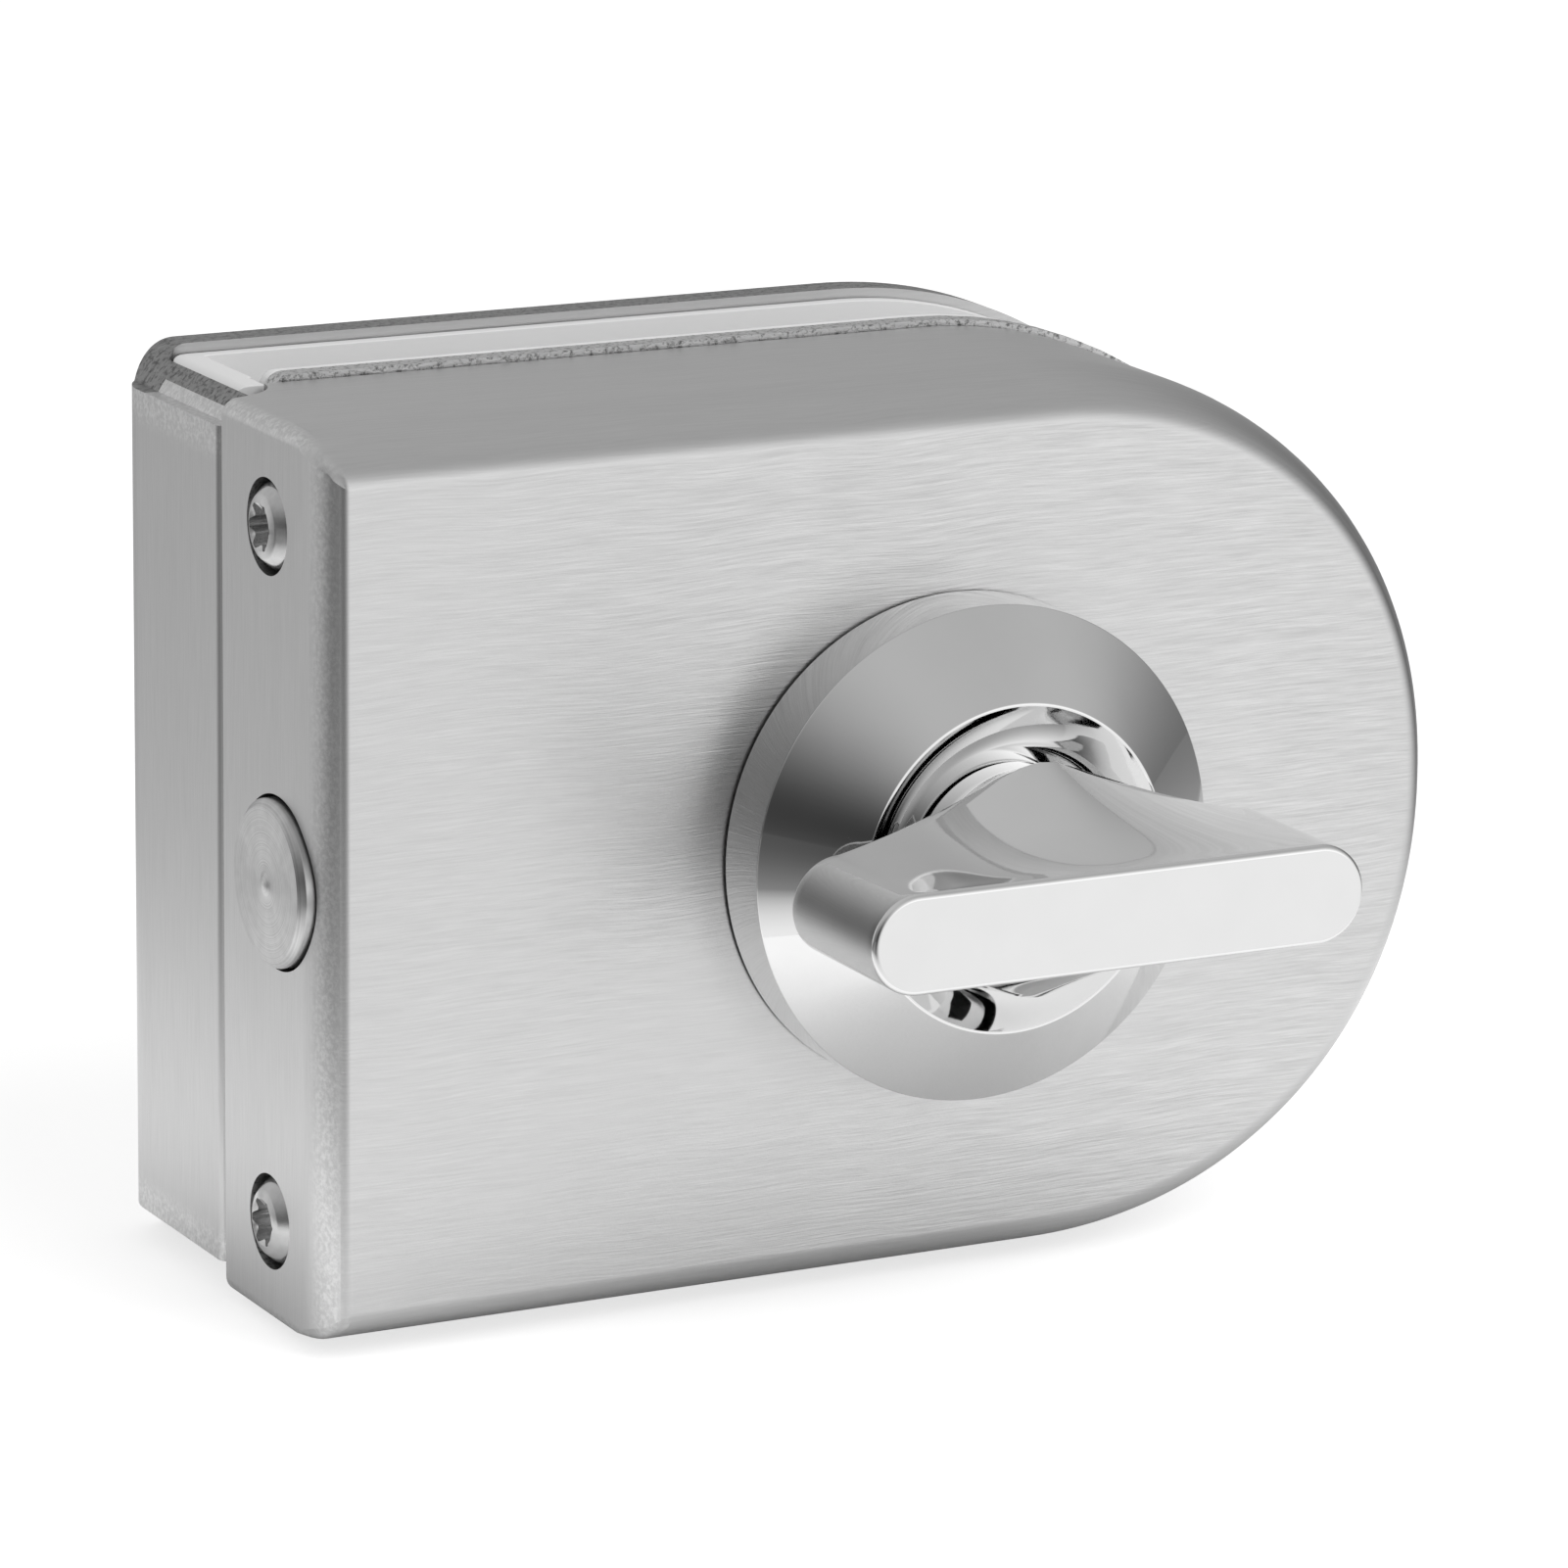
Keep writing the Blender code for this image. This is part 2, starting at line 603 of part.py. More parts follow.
# Base plate: carries the case, the cover's posts and the clamp screws
base_plate = sheet(
    "base_plate", [d_outline(-BASE_PROUD, BASE_LEFT, 0.0015)], BASE_FRONT, BASE_BACK, "Y", lock, zinc
)
rim = COVER_WALL + SEAT
rim_left = BOLT_SIDE + LIP_LENGTH + SEAT + 0.0005
add(
    base_plate,
    sheet(
        "base_rim",
        [d_outline(rim, rim_left), d_outline(rim + 0.0016, rim_left + 0.0016)],
        BASE_FRONT - 0.0022,
        BASE_FRONT + 0.0006,
        "Y",
        helpers,
    ),
    block(
        "base_lip_seat",
        (BASE_LEFT + 0.0016, LIP_BACK + SEAT, -LIP_HALF_HEIGHT),
        (rim_left + 0.001, BASE_FRONT + 0.0007, LIP_HALF_HEIGHT),
        helpers,
    ),
)
for name, sign in (("upper", 1), ("lower", -1)):
    z = sign * COVER_SCREW_Z
    add(
        base_plate,
        block(
            "base_post_" + name,
            (POST_LEFT, COVER_SCREW_Y - POST_HALF_HEIGHT - 0.0012, z - POST_HALF_HEIGHT),
            (POST_RIGHT, BASE_FRONT, z + POST_HALF_HEIGHT),
            helpers,
        ),
        block(
            "base_post_root_" + name,
            (BASE_LEFT + 0.0006, COVER_SCREW_Y + POST_HALF_HEIGHT, z - POST_HALF_HEIGHT + 0.0004),
            (POST_RIGHT - 0.0004, BASE_FRONT + 0.0008, z + POST_HALF_HEIGHT - 0.0004),
            helpers,
        ),
    )
for x in CASE_SCREW_X:
    for z in (EAR_TOP, EAR_BOTTOM):
        add(
            base_plate,
            rod(f"base_pillar_{x}_{z}", EAR_RADIUS, (x, CASE_OUT + SEAT, z), (x, BASE_FRONT + 0.0009, z)),
        )
for sign in (-1, 1):
    z = sign * COVER_SCREW_Z
    x = BOLT_SIDE + CLAMP_SCREW_X
    cut(
        base_plate,
        rod(
            f"base_post_bore_{sign}",
            COVER_SCREW + SEAT,
            (POST_LEFT - 0.001, COVER_SCREW_Y, z),
            (BOLT_SIDE + COUNTERBORE + COVER_SCREW_LENGTH + 0.0005, COVER_SCREW_Y, z),
            segments=24,
        ),
        rod(
            f"base_clamp_bore_{sign}",
            COVER_SCREW + SEAT,
            (x, LIP_BACK, sign * CLAMP_SCREW_Z),
            (x, BASE_BACK + 0.001, sign * CLAMP_SCREW_Z),
            segments=24,
        ),
    )
for x in CASE_SCREW_X:
    for z in (EAR_TOP, EAR_BOTTOM):
        start, end = (x, CASE_OUT, z), (x, BASE_BACK + 0.001, z)
        cut(base_plate, rod(f"base_bore_{x}_{z}", BORE_CASE_SCREW, start, end, segments=20))
smooth(base_plate)


# Lock case: cast tray, open to the cover, with a nose for the bolt's cradle and ears for its screws
wide = box_outline(
    CHAMBER_LEFT - CASE_WALL, CHAMBER_RIGHT + CASE_WALL, -CHAMBER_BOTTOM - CASE_WALL, CHAMBER_TOP + CASE_WALL
)
lock_case = sheet("lock_case", [wide], CASE_FRONT, CASE_OUT, "Y", lock, zinc)
nose_right = CHAMBER_LEFT - CASE_WALL + 0.001
nose_corners = (NOSE_LEFT, CASE_FRONT + SEAT, -NOSE_HALF), (nose_right, NOSE_BACK, NOSE_HALF)
add(lock_case, block("case_nose", *nose_corners, helpers))
for x in CASE_SCREW_X:
    for z, wall in ((EAR_TOP, CHAMBER_TOP), (EAR_BOTTOM, -CHAMBER_BOTTOM)):
        root = (x, wall + math.copysign(0.001 - EAR_RADIUS, wall))
        ear = slot_outline(root, (x, z), EAR_RADIUS)
        add(lock_case, sheet(f"case_ear_{x}_{z}", [ear], EAR_FRONT, CASE_OUT, "Y", helpers))
detent_y = (DISC_FRONT + DISC_BACK) / 2
add(
    lock_case,
    rod(
        "case_detent_boss",
        DETENT_BOSS,
        (0, detent_y, CHAMBER_TOP + 0.0005),
        (0, detent_y, DETENT_HEIGHT),
        segments=24,
    ),
)
cut(
    lock_case,
    block(
        "case_chamber",
        (CHAMBER_LEFT, CASE_FRONT - 0.001, -CHAMBER_BOTTOM),
        (CHAMBER_RIGHT, TAIL_FRONT - RUNNING / 2, CHAMBER_TOP),
        helpers,
    ),
    block(
        "case_tail_way",
        (CHAMBER_LEFT, CASE_FRONT - 0.0005, -CHAMBER_BOTTOM),
        (CHAMBER_RIGHT, CASE_FLOOR, TAIL_TOP + RUNNING),
        helpers,
    ),
    block(
        "case_cradle_seat",
        (CRADLE_LEFT - SEAT, CASE_FRONT - 0.0015, -CRADLE_HALF - SEAT),
        (CRADLE_RIGHT + SEAT, CRADLE_BACK + SEAT, CRADLE_HALF + SEAT),
        helpers,
    ),
    sheet(
        "case_bolt_way",
        [slot_outline((BOLT_Y, 0.0), (CASE_FRONT - 0.002, 0.0), BOLT_BORE, 14)],
        NOSE_LEFT - 0.001,
        CHAMBER_LEFT + 0.001,
        "X",
        helpers,
    ),
    rod(
        "case_detent_bore",
        BALL_RADIUS + SEAT,
        (0, detent_y, CHAMBER_TOP - 0.002),
        (0, detent_y, DETENT_HEIGHT + 0.001),
        segments=24,
    ),
)
for x in CASE_SCREW_X:
    for z in (EAR_TOP, EAR_BOTTOM):
        start, end = (x, EAR_FRONT - 0.001, z), (x, CASE_OUT + 0.001, z)
        cut(lock_case, rod(f"case_bore_{x}_{z}", BORE_CASE_SCREW, start, end, segments=20))
smooth(lock_case)

# Lid of the case: thin sheet under the cover, with the crank's front bearing hole
lid_round = 0.001
case_lid = sheet(
    "case_lid",
    [
        [
            (NOSE_LEFT, -NOSE_HALF),
            (CHAMBER_LEFT - CASE_WALL, -NOSE_HALF),
            (CHAMBER_LEFT - CASE_WALL, -CHAMBER_BOTTOM - CASE_WALL),
            (CHAMBER_RIGHT + CASE_WALL, -CHAMBER_BOTTOM - CASE_WALL),
            (CHAMBER_RIGHT + CASE_WALL, CHAMBER_TOP + CASE_WALL),
            (CHAMBER_LEFT - CASE_WALL, CHAMBER_TOP + CASE_WALL),
            (CHAMBER_LEFT - CASE_WALL, NOSE_HALF),
            (NOSE_LEFT, NOSE_HALF),
        ],
        circle(HUB_RADIUS + RUNNING, points=36),
    ],
    LID_FRONT,
    LID_BACK,
    "Y",
    lock,
    steel,
)

# Cradle: nylon block that the bolt slides in, open towards the cover
bolt_cradle = block(
    "bolt_cradle",
    (CRADLE_LEFT, BOLT_Y - BOLT_RADIUS + 0.0016, -CRADLE_HALF),
    (CRADLE_RIGHT, CRADLE_BACK, CRADLE_HALF),
    lock,
    nylon,
)
start, end = (CRADLE_LEFT - 0.001, BOLT_Y, 0), (CRADLE_RIGHT + 0.001, BOLT_Y, 0)
cut(bolt_cradle, rod("cradle_bore", BOLT_BORE, start, end, segments=28))
smooth(bolt_cradle)

# Case screws: pan heads on the ears, into the pillars of the base plate
number = 0
for x in CASE_SCREW_X:
    for z in (EAR_TOP, EAR_BOTTOM):
        number += 1
        head = CASE_SCREW * 1.85
        made = turned(
            f"case_screw_{number}",
            [
                (0.0, 0.0021),
                (head * 0.55, 0.0020),
                (head * 0.88, 0.0015),
                (head, 0.0009),
                (head, SEAT),
                (CASE_SCREW, SEAT),
                (CASE_SCREW, EAR_FRONT - BASE_BACK + 0.0008),
                (CASE_SCREW - 0.0003, EAR_FRONT - BASE_BACK + 0.0005),
                (0.0, EAR_FRONT - BASE_BACK + 0.0005),
            ],
            (0, -1, 0),
            (x, EAR_FRONT, z),
            material=screw_steel,
            steps=14,
        )
        cut(
            made,
            rod(
                f"case_screw_socket_{number}",
                CASE_SCREW * 0.8,
                (x, EAR_FRONT - 0.003, z),
                (x, EAR_FRONT - 0.0011, z),
                segments=6,
            ),
        )
        smooth(made)


# Crank: disc with a hub for the spindle, a pin for the bolt's tail and two detent notches
turning = bpy.data.objects.new("thumbturn_axis", None)
turning.location = (0, FACE, 0)
lock.objects.link(turning)
bpy.context.view_layer.update()

crank = turned(
    "crank",
    [
        (0.0, DISC_BACK - HUB_FRONT),
        (HUB_RADIUS, DISC_BACK - HUB_FRONT),
        (HUB_RADIUS, DISC_BACK - LID_BACK - RUNNING),
        (SHOULDER_RADIUS, DISC_BACK - LID_BACK - RUNNING),
        (SHOULDER_RADIUS, DISC_THICKNESS),
        (DISC_RADIUS, DISC_THICKNESS),
        (DISC_RADIUS, 0.0),
        (0.0, 0.0),
    ],
    (0, -1, 0),
    (0, DISC_BACK, 0),
    material=zinc,
)
add(
    crank,
    rod(
        "crank_pin",
        CRANK_PIN,
        (PIN_X, DISC_BACK - 0.001, -PIN_X),
        (PIN_X, TAIL_BACK + RUNNING / 2, -PIN_X),
        segments=28,
    ),
)
square = SPINDLE + 2 * SEAT
cut(
    crank,
    block(
        "crank_square",
        (-square / 2, HUB_FRONT - 0.001, -square / 2),
        (square / 2, DISC_BACK + 0.0005, square / 2),
        helpers,
    ),
)
for name, x, z in (("locked", -1, 0), ("open", 0, 1)):
    reach = DISC_RADIUS + RUNNING + BALL_RADIUS - NOTCH_DEPTH
    cut(
        crank,
        rod(
            "crank_notch_" + name,
            BALL_RADIUS + RUNNING,
            (x * reach, DISC_FRONT - 0.001, z * reach),
            (x * reach, DISC_BACK + 0.001, z * reach),
            segments=24,
        ),
    )
smooth(crank)

# Bolt: turned bar with a flat tail, whose upright slot takes the crank pin
bolt = turned(
    "bolt",
    [
        (0.0, BOLT_LENGTH + 0.00025),
        (0.0009, BOLT_LENGTH + 0.0002),
        (0.0012, BOLT_LENGTH),
        (BOLT_RADIUS - BOLT_CHAMFER, BOLT_LENGTH),
        (BOLT_RADIUS, BOLT_LENGTH - BOLT_CHAMFER),
        (BOLT_RADIUS, 0.0),
        (0.0, 0.0),
    ],
    (-1, 0, 0),
    (BOLT_END, BOLT_Y, 0),
    material=turned_steel,
    steps=40,
)
shoulder = BOLT_END - 0.0002
tail = sheet(
    "bolt_tail",
    [
        [
            (shoulder, -TAIL_BOTTOM + 0.004),
            (shoulder + 0.004, -TAIL_BOTTOM),
            (TAIL_END - 0.002, -TAIL_BOTTOM),
            (TAIL_END, -TAIL_BOTTOM + 0.002),
            (TAIL_END, TAIL_TOP - 0.002),
            (TAIL_END - 0.002, TAIL_TOP),
            (shoulder, TAIL_TOP),
        ],
        slot_outline((PIN_X, -CRANK_RADIUS - 0.0003), (PIN_X, -PIN_X + 0.0003), CRANK_PIN + CRANK_PLAY),
    ],
    TAIL_FRONT,
    TAIL_BACK,
    "Y",
    helpers,
)
add(bolt, tail)
smooth(bolt)


# Spindle: square bar from the thumbturn to the crank
spindle_front = BAR_BACK + SPINDLE_START
spindle = block(
    "spindle",
    (-SPINDLE / 2, spindle_front, -SPINDLE / 2),
    (SPINDLE / 2, SPINDLE_END, SPINDLE / 2),
    lock,
    screw_steel,
)
bevel = spindle.modifiers.new("edges", "BEVEL")
bevel.width = 0.0003
bevel.segments = 1

# Bush: nylon ring in the cover's hole, held by its flange under the rosette
spindle_bush = turned(
    "spindle_bush",
    [
        (BUSH_FLANGE, SEAT + BUSH_THICKNESS),
        (BUSH_FLANGE, SEAT),
        (BUSH_RADIUS, SEAT),
        (BUSH_RADIUS, -COVER_WALL),
        (HUB_RADIUS + RUNNING, -COVER_WALL),
        (HUB_RADIUS + RUNNING, SEAT + BUSH_THICKNESS),
    ],
    (0, -1, 0),
    (0, FACE, 0),
    material=nylon,
)
smooth(spindle_bush)

# Rosette: polished ring with an upright rim, a conical face and a dished middle
bore = JOURNAL_RADIUS + RUNNING
rosette_profile = [
    (ROSETTE_INNER, ROSETTE_HEIGHT),
    (ROSETTE_RADIUS - 0.0003, ROSETTE_RIM + 0.0001),
    (ROSETTE_RADIUS, ROSETTE_RIM - 0.0002),
    (ROSETTE_RADIUS, SEAT),
    (BUSH_FLANGE + SEAT, SEAT),
    (BUSH_FLANGE + SEAT, 2 * SEAT + BUSH_THICKNESS),
    (bore, 2 * SEAT + BUSH_THICKNESS),
    (bore, DISH_FLOOR),
    (NECK_RADIUS + 0.0004, DISH_FLOOR),
]
for n in range(1, 5):
    t = n / 4
    rosette_profile.append(
        (
            NECK_RADIUS + 0.0004 + (ROSETTE_INNER - 0.0002 - NECK_RADIUS - 0.0004) * t,
            DISH_FLOOR + (ROSETTE_HEIGHT - DISH_FLOOR) * t**1.8,
        )
    )
rosette = turned("rosette", rosette_profile, (0, -1, 0), (0, FACE, 0), material=plated, steps=56)
for sign in (-1, 1):
    x = sign * ROSETTE_SCREW_AT
    start, end = (x, FACE + 0.001, 0), (x, FACE - ROSETTE_RIM + 0.0005, 0)
    cut(rosette, rod(f"rosette_bore_{sign}", ROSETTE_SCREW + SEAT, start, end, segments=20))
smooth(rosette, 20)
for name, sign in (("left", -1), ("right", 1)):
    made = turned(
        "rosette_screw_" + name,
        [
            (0.0, ROSETTE_RIM - 0.0009),
            (ROSETTE_SCREW - 0.0003, ROSETTE_RIM - 0.0009),
            (ROSETTE_SCREW, ROSETTE_RIM - 0.0012),
            (ROSETTE_SCREW, -0.0002),
            (ROSETTE_SCREW + COVER_WALL - 0.0004, -COVER_WALL + 0.0002),
            (ROSETTE_SCREW + COVER_WALL - 0.0004, -COVER_WALL),
            (0.0, -COVER_WALL),
        ],
        (0, -1, 0),
        (sign * ROSETTE_SCREW_AT, FACE, 0),
        material=screw_steel,
        steps=20,
    )
    cut(
        made,
        rod(
            "rosette_screw_socket_" + name,
            0.001,
            (sign * ROSETTE_SCREW_AT, COVER_INNER + 0.001, 0),
            (sign * ROSETTE_SCREW_AT, COVER_INNER - 0.0009, 0),
            segments=6,
        ),
    )
    smooth(made)


# Thumbturn: a bar with round ends that swells to a waist at the back, on a round neck and journal
def bar_section(y, inset, swell):
    """Closed outline of the bar at one depth, from the right end over the top to the left."""
    radius = BAR_HEIGHT / 2 - inset
    straight = BAR_LENGTH / 2 - BAR_HEIGHT / 2
    soft = 0.0022
    points = []
    side = 16
    for n in range(side + 1):
        x = straight * (1 - 2 * n / side)
        ridge = 1 - (math.hypot(x, soft) - soft) / (math.hypot(straight, soft) - soft)
        points.append((x, y, radius + BAR_RISE * swell * (0.62 * ridge + 0.38 * ridge * ridge)))
    for n in range(1, 8):
        a = math.pi / 2 + math.pi * n / 8
        points.append((-straight + radius * math.cos(a), y, radius * math.sin(a)))
    points += [(-x, y, -z) for x, y, z in points[: side + 1]]
    for n in range(1, 8):
        a = -math.pi / 2 + math.pi * n / 8
        points.append((straight + radius * math.cos(a), y, radius * math.sin(a)))
    return points


bar_front = FACE - BAR_FRONT
stations = [(bar_front, BAR_EDGE, 0.0), (bar_front + 0.35 * BAR_EDGE, 0.3 * BAR_EDGE, 0.0)]
steps = 9
for n in range(steps + 1):
    t = n / steps
    y = bar_front + BAR_EDGE + (BAR_DEPTH - 2 * BAR_EDGE) * t
    stations.append((y, 0.0, t**1.25))
stations += [(BAR_BACK - 0.35 * BAR_EDGE, 0.3 * BAR_EDGE, 1.0), (BAR_BACK, BAR_EDGE, 1.0)]
mesh = bpy.data.meshes.new("thumbturn")
work = bmesh.new()
rings = [[work.verts.new(p) for p in bar_section(*station)] for station in stations]
for first, second in zip(rings, rings[1:]):
    for n in range(len(first)):
        m = (n + 1) % len(first)
        work.faces.new((first[n], first[m], second[m], second[n]))
work.faces.new(rings[0])
work.faces.new(rings[-1])
bmesh.ops.recalc_face_normals(work, faces=work.faces)
work.to_mesh(mesh)
work.free()
thumbturn = link(bpy.data.objects.new("thumbturn", mesh), lock, plated)
neck = turned(
    "thumbturn_neck",
    [
        (0.0, BAR_FRONT - BAR_DEPTH + 0.002),
        (NECK_RADIUS - 0.001, BAR_FRONT - BAR_DEPTH + 0.002),
        (NECK_RADIUS, BAR_FRONT - BAR_DEPTH - 0.0004),
        (NECK_RADIUS - 0.0006, BAR_FRONT - BAR_DEPTH - 0.0024),
        (NECK_RADIUS - 0.0007, DISH_FLOOR + RUNNING),
        (JOURNAL_RADIUS, DISH_FLOOR + RUNNING),
        (JOURNAL_RADIUS, 2 * SEAT + BUSH_THICKNESS),
        (0.0, 2 * SEAT + BUSH_THICKNESS),
    ],
    (0, -1, 0),
    (0, FACE, 0),
    where=helpers,
    steps=40,
)
add(thumbturn, neck)
cut(
    thumbturn,
    block(
        "thumbturn_square",
        (-square / 2, spindle_front - SEAT, -square / 2),
        (square / 2, FACE + 0.001, square / 2),
        helpers,
    ),
)
grub_y = (BAR_BACK + NECK_BACK) / 2
start, end = (0, grub_y, -SPINDLE / 2), (0, grub_y, -NECK_RADIUS - 0.003)
cut(thumbturn, rod("thumbturn_grub_bore", GRUB_SCREW + SEAT, start, end, segments=20))
smooth(thumbturn, 35)
grub_screw = turned(
    "grub_screw",
    [
        (0.0, GRUB_LENGTH),
        (GRUB_SCREW, GRUB_LENGTH),
        (GRUB_SCREW, 0.0003),
        (GRUB_SCREW - 0.0004, 0.0),
        (0.0, 0.0),
    ],
    (0, 0, -1),
    (0, grub_y, -SPINDLE / 2 - SEAT),
    material=screw_steel,
    steps=20,
)
cut(
    grub_screw,
    rod(
        "grub_socket",
        GRUB_SCREW - 0.0007,
        (0, grub_y, -SPINDLE / 2 - SEAT - GRUB_LENGTH - 0.001),
        (0, grub_y, -SPINDLE / 2 - SEAT - GRUB_LENGTH + GRUB_SOCKET),
        segments=6,
    ),
)
smooth(grub_screw)


# Detent: spring-loaded ball in the case, against the rim of the crank
ball_z = DISC_RADIUS + RUNNING + BALL_RADIUS
ball_mesh = bpy.data.meshes.new("detent_ball")
work = bmesh.new()
bmesh.ops.create_uvsphere(work, u_segments=14, v_segments=8, radius=BALL_RADIUS)
work.to_mesh(ball_mesh)
work.free()
detent_ball = link(bpy.data.objects.new("detent_ball", ball_mesh), lock, spring_steel)
detent_ball.location = (0, detent_y, ball_z)
smooth(detent_ball)
plug_low = DETENT_HEIGHT - DETENT_PLUG
detent_plug = turned(
    "detent_plug",
    [
        (0.0, DETENT_PLUG),
        (BALL_RADIUS - 0.0002, DETENT_PLUG),
        (BALL_RADIUS, DETENT_PLUG - 0.0002),
        (BALL_RADIUS, 0.0),
        (0.0, 0.0),
    ],
    (0, 0, 1),
    (0, detent_y, plug_low),
    material=screw_steel,
    steps=20,
)
start, end = (0, detent_y, DETENT_HEIGHT + 0.001), (0, detent_y, DETENT_HEIGHT - 0.0012)
cut(detent_plug, rod("plug_socket", 0.001, start, end, segments=6))
smooth(detent_plug)
low = ball_z + BALL_RADIUS + SEAT + SPRING_WIRE / 2
high = plug_low - SEAT - SPRING_WIRE / 2
coil = bpy.data.curves.new("detent_spring_path", "CURVE")
coil.dimensions = "3D"
coil.bevel_depth = SPRING_WIRE / 2
coil.bevel_resolution = 1
coil.use_fill_caps = True
spline = coil.splines.new("POLY")
count = SPRING_TURNS * 9
spline.points.add(count)
for n, point in enumerate(spline.points):
    a = 2 * math.pi * n / 9
    radius = BALL_RADIUS - SPRING_WIRE / 2
    point.co = (radius * math.cos(a), radius * math.sin(a), low + (high - low) * n / count, 1.0)
detent_spring = link(bpy.data.objects.new("detent_spring", coil), lock)
coil.materials.append(spring_steel)
detent_spring.location = (0, detent_y, 0)


# Screws with low round heads and six-lobe sockets: two hold the cover, two clamp the rear plate
def six_lobes(radius, points=24):
    step = 2 * math.pi / points
    made = []
    for n in range(points):
        r = radius * (0.86 + 0.14 * math.cos(6 * step * n))
        made.append((r * math.cos(step * n), r * math.sin(step * n)))
    return made


def button_screw(name, at, direction, length):
    """Button head screw; the head's underside is at the given point and the shank runs the other way."""
    made = turned(
        name,
        [
            (0.0, HEAD_HEIGHT),
            (0.50 * HEAD_RADIUS, HEAD_HEIGHT),
            (0.78 * HEAD_RADIUS, 0.80 * HEAD_HEIGHT),
            (0.95 * HEAD_RADIUS, 0.44 * HEAD_HEIGHT),
            (HEAD_RADIUS, 0.12 * HEAD_HEIGHT),
            (HEAD_RADIUS, 0.0),
            (COVER_SCREW, 0.0),
            (COVER_SCREW, -length + 0.0004),
            (COVER_SCREW - 0.0004, -length),
            (0.0, -length),
        ],
        direction,
        at,
        material=screw_steel,
        steps=24,
    )
    low, high = HEAD_HEIGHT - 0.0013, HEAD_HEIGHT + 0.001
    socket = sheet(name + "_socket", [six_lobes(0.56 * HEAD_RADIUS)], low, high, "Z", helpers)
    turn = Vector(direction).to_track_quat("Z", "Y").to_matrix().to_4x4()
    socket.matrix_world = Matrix.Translation(at) @ turn
    cut(made, socket)
    return smooth(made)


for name, sign in (("upper", 1), ("lower", -1)):
    button_screw(
        "cover_screw_" + name,
        (BOLT_SIDE + COUNTERBORE - SEAT, COVER_SCREW_Y, sign * COVER_SCREW_Z),
        (-1, 0, 0),
        COVER_SCREW_LENGTH,
    )
    button_screw(
        "clamp_screw_" + name,
        (BOLT_SIDE + CLAMP_SCREW_X, FLANGE_FRONT - SEAT, sign * CLAMP_SCREW_Z),
        (0, -1, 0),
        BASE_BACK - FLANGE_FRONT,
    )


# What turns with the thumbturn hangs on its axis, the rest stands on the case
for piece in (thumbturn, grub_screw, spindle, crank):
    world = piece.matrix_world.copy()
    piece.parent = turning
    piece.matrix_parent_inverse = turning.matrix_world.inverted()
    piece.matrix_world = world
bpy.context.view_layer.update()
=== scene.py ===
"""Looks of a clamp-on lock for a frameless glass door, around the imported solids.

Metres, +Z up. The origin is where the thumbturn's axis meets the front face of the glass.
+X runs from the bolt to the round end, and -Y to the thumbturn.
"""

import math

import bmesh
import bpy
from mathutils import Matrix, Vector


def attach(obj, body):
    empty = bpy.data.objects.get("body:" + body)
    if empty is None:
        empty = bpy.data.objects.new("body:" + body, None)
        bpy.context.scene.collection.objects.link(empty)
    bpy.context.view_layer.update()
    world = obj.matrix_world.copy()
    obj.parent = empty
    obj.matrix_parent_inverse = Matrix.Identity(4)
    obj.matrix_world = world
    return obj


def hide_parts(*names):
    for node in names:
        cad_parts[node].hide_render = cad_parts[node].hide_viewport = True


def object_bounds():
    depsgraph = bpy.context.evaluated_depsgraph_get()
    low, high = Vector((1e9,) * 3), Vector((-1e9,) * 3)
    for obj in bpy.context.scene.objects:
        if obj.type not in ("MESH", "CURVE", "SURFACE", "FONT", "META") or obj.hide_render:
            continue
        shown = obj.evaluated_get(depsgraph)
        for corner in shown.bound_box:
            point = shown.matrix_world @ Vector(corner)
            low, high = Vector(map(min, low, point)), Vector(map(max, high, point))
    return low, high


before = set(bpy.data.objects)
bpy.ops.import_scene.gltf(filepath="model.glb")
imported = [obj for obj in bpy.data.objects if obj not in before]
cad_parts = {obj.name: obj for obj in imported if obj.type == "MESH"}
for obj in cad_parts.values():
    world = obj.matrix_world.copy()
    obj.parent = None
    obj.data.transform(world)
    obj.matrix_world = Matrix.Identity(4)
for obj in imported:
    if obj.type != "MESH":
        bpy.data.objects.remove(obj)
cad_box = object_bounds()
scene = bpy.context.scene
scene.view_settings.view_transform = "Standard"


# Camera: a long lens, a little to the bolt side and above, as in the photograph.
# Its place and turn come from a fit to the edges of the cover and the rosette.
CAMERA_AT = (-0.29435, -0.56480, 0.15813)
CAMERA_TURN = 27.49
CAMERA_DOWN = 14.11
CAMERA_ROLL = 0.70
LENS = 181.94

camera = bpy.data.objects.new("camera", bpy.data.cameras.new("camera"))
camera.data.sensor_width = 36.0
camera.data.lens = LENS
camera.data.clip_start = 0.01
turn = Matrix.Rotation(math.radians(-CAMERA_TURN), 4, "Z")
tilt = Matrix.Rotation(math.radians(90 - CAMERA_DOWN), 4, "X")
roll = Matrix.Rotation(math.radians(CAMERA_ROLL), 4, "Z")
camera.matrix_world = Matrix.Translation(CAMERA_AT) @ turn @ tilt @ roll
scene.collection.objects.link(camera)
scene.camera = camera


# Studio: a pale floor under the lock and a tent of white cloth, lit from outside.
# Grey cards on the floor round the lock show only in its metal, and give it its dark sides.
FLOOR_AT = cad_box[0][2] - 0.0001
FLOOR_WIDTH = 6.0
FLOOR_LIFT = 0.72
FLOOR_SHADE = "#BEBEBE"
SHADOW_REACH = 0.035
SHADOW_DEPTH = 2.0
CARDS_FROM = 0.09
CARDS_TO = 2.38
TENT_RADIUS = 2.4
LAMP_AT = (0.35, -0.9, 1.0)
LAMP_WIDTH = 0.9
LAMP_WATTS = 9.0


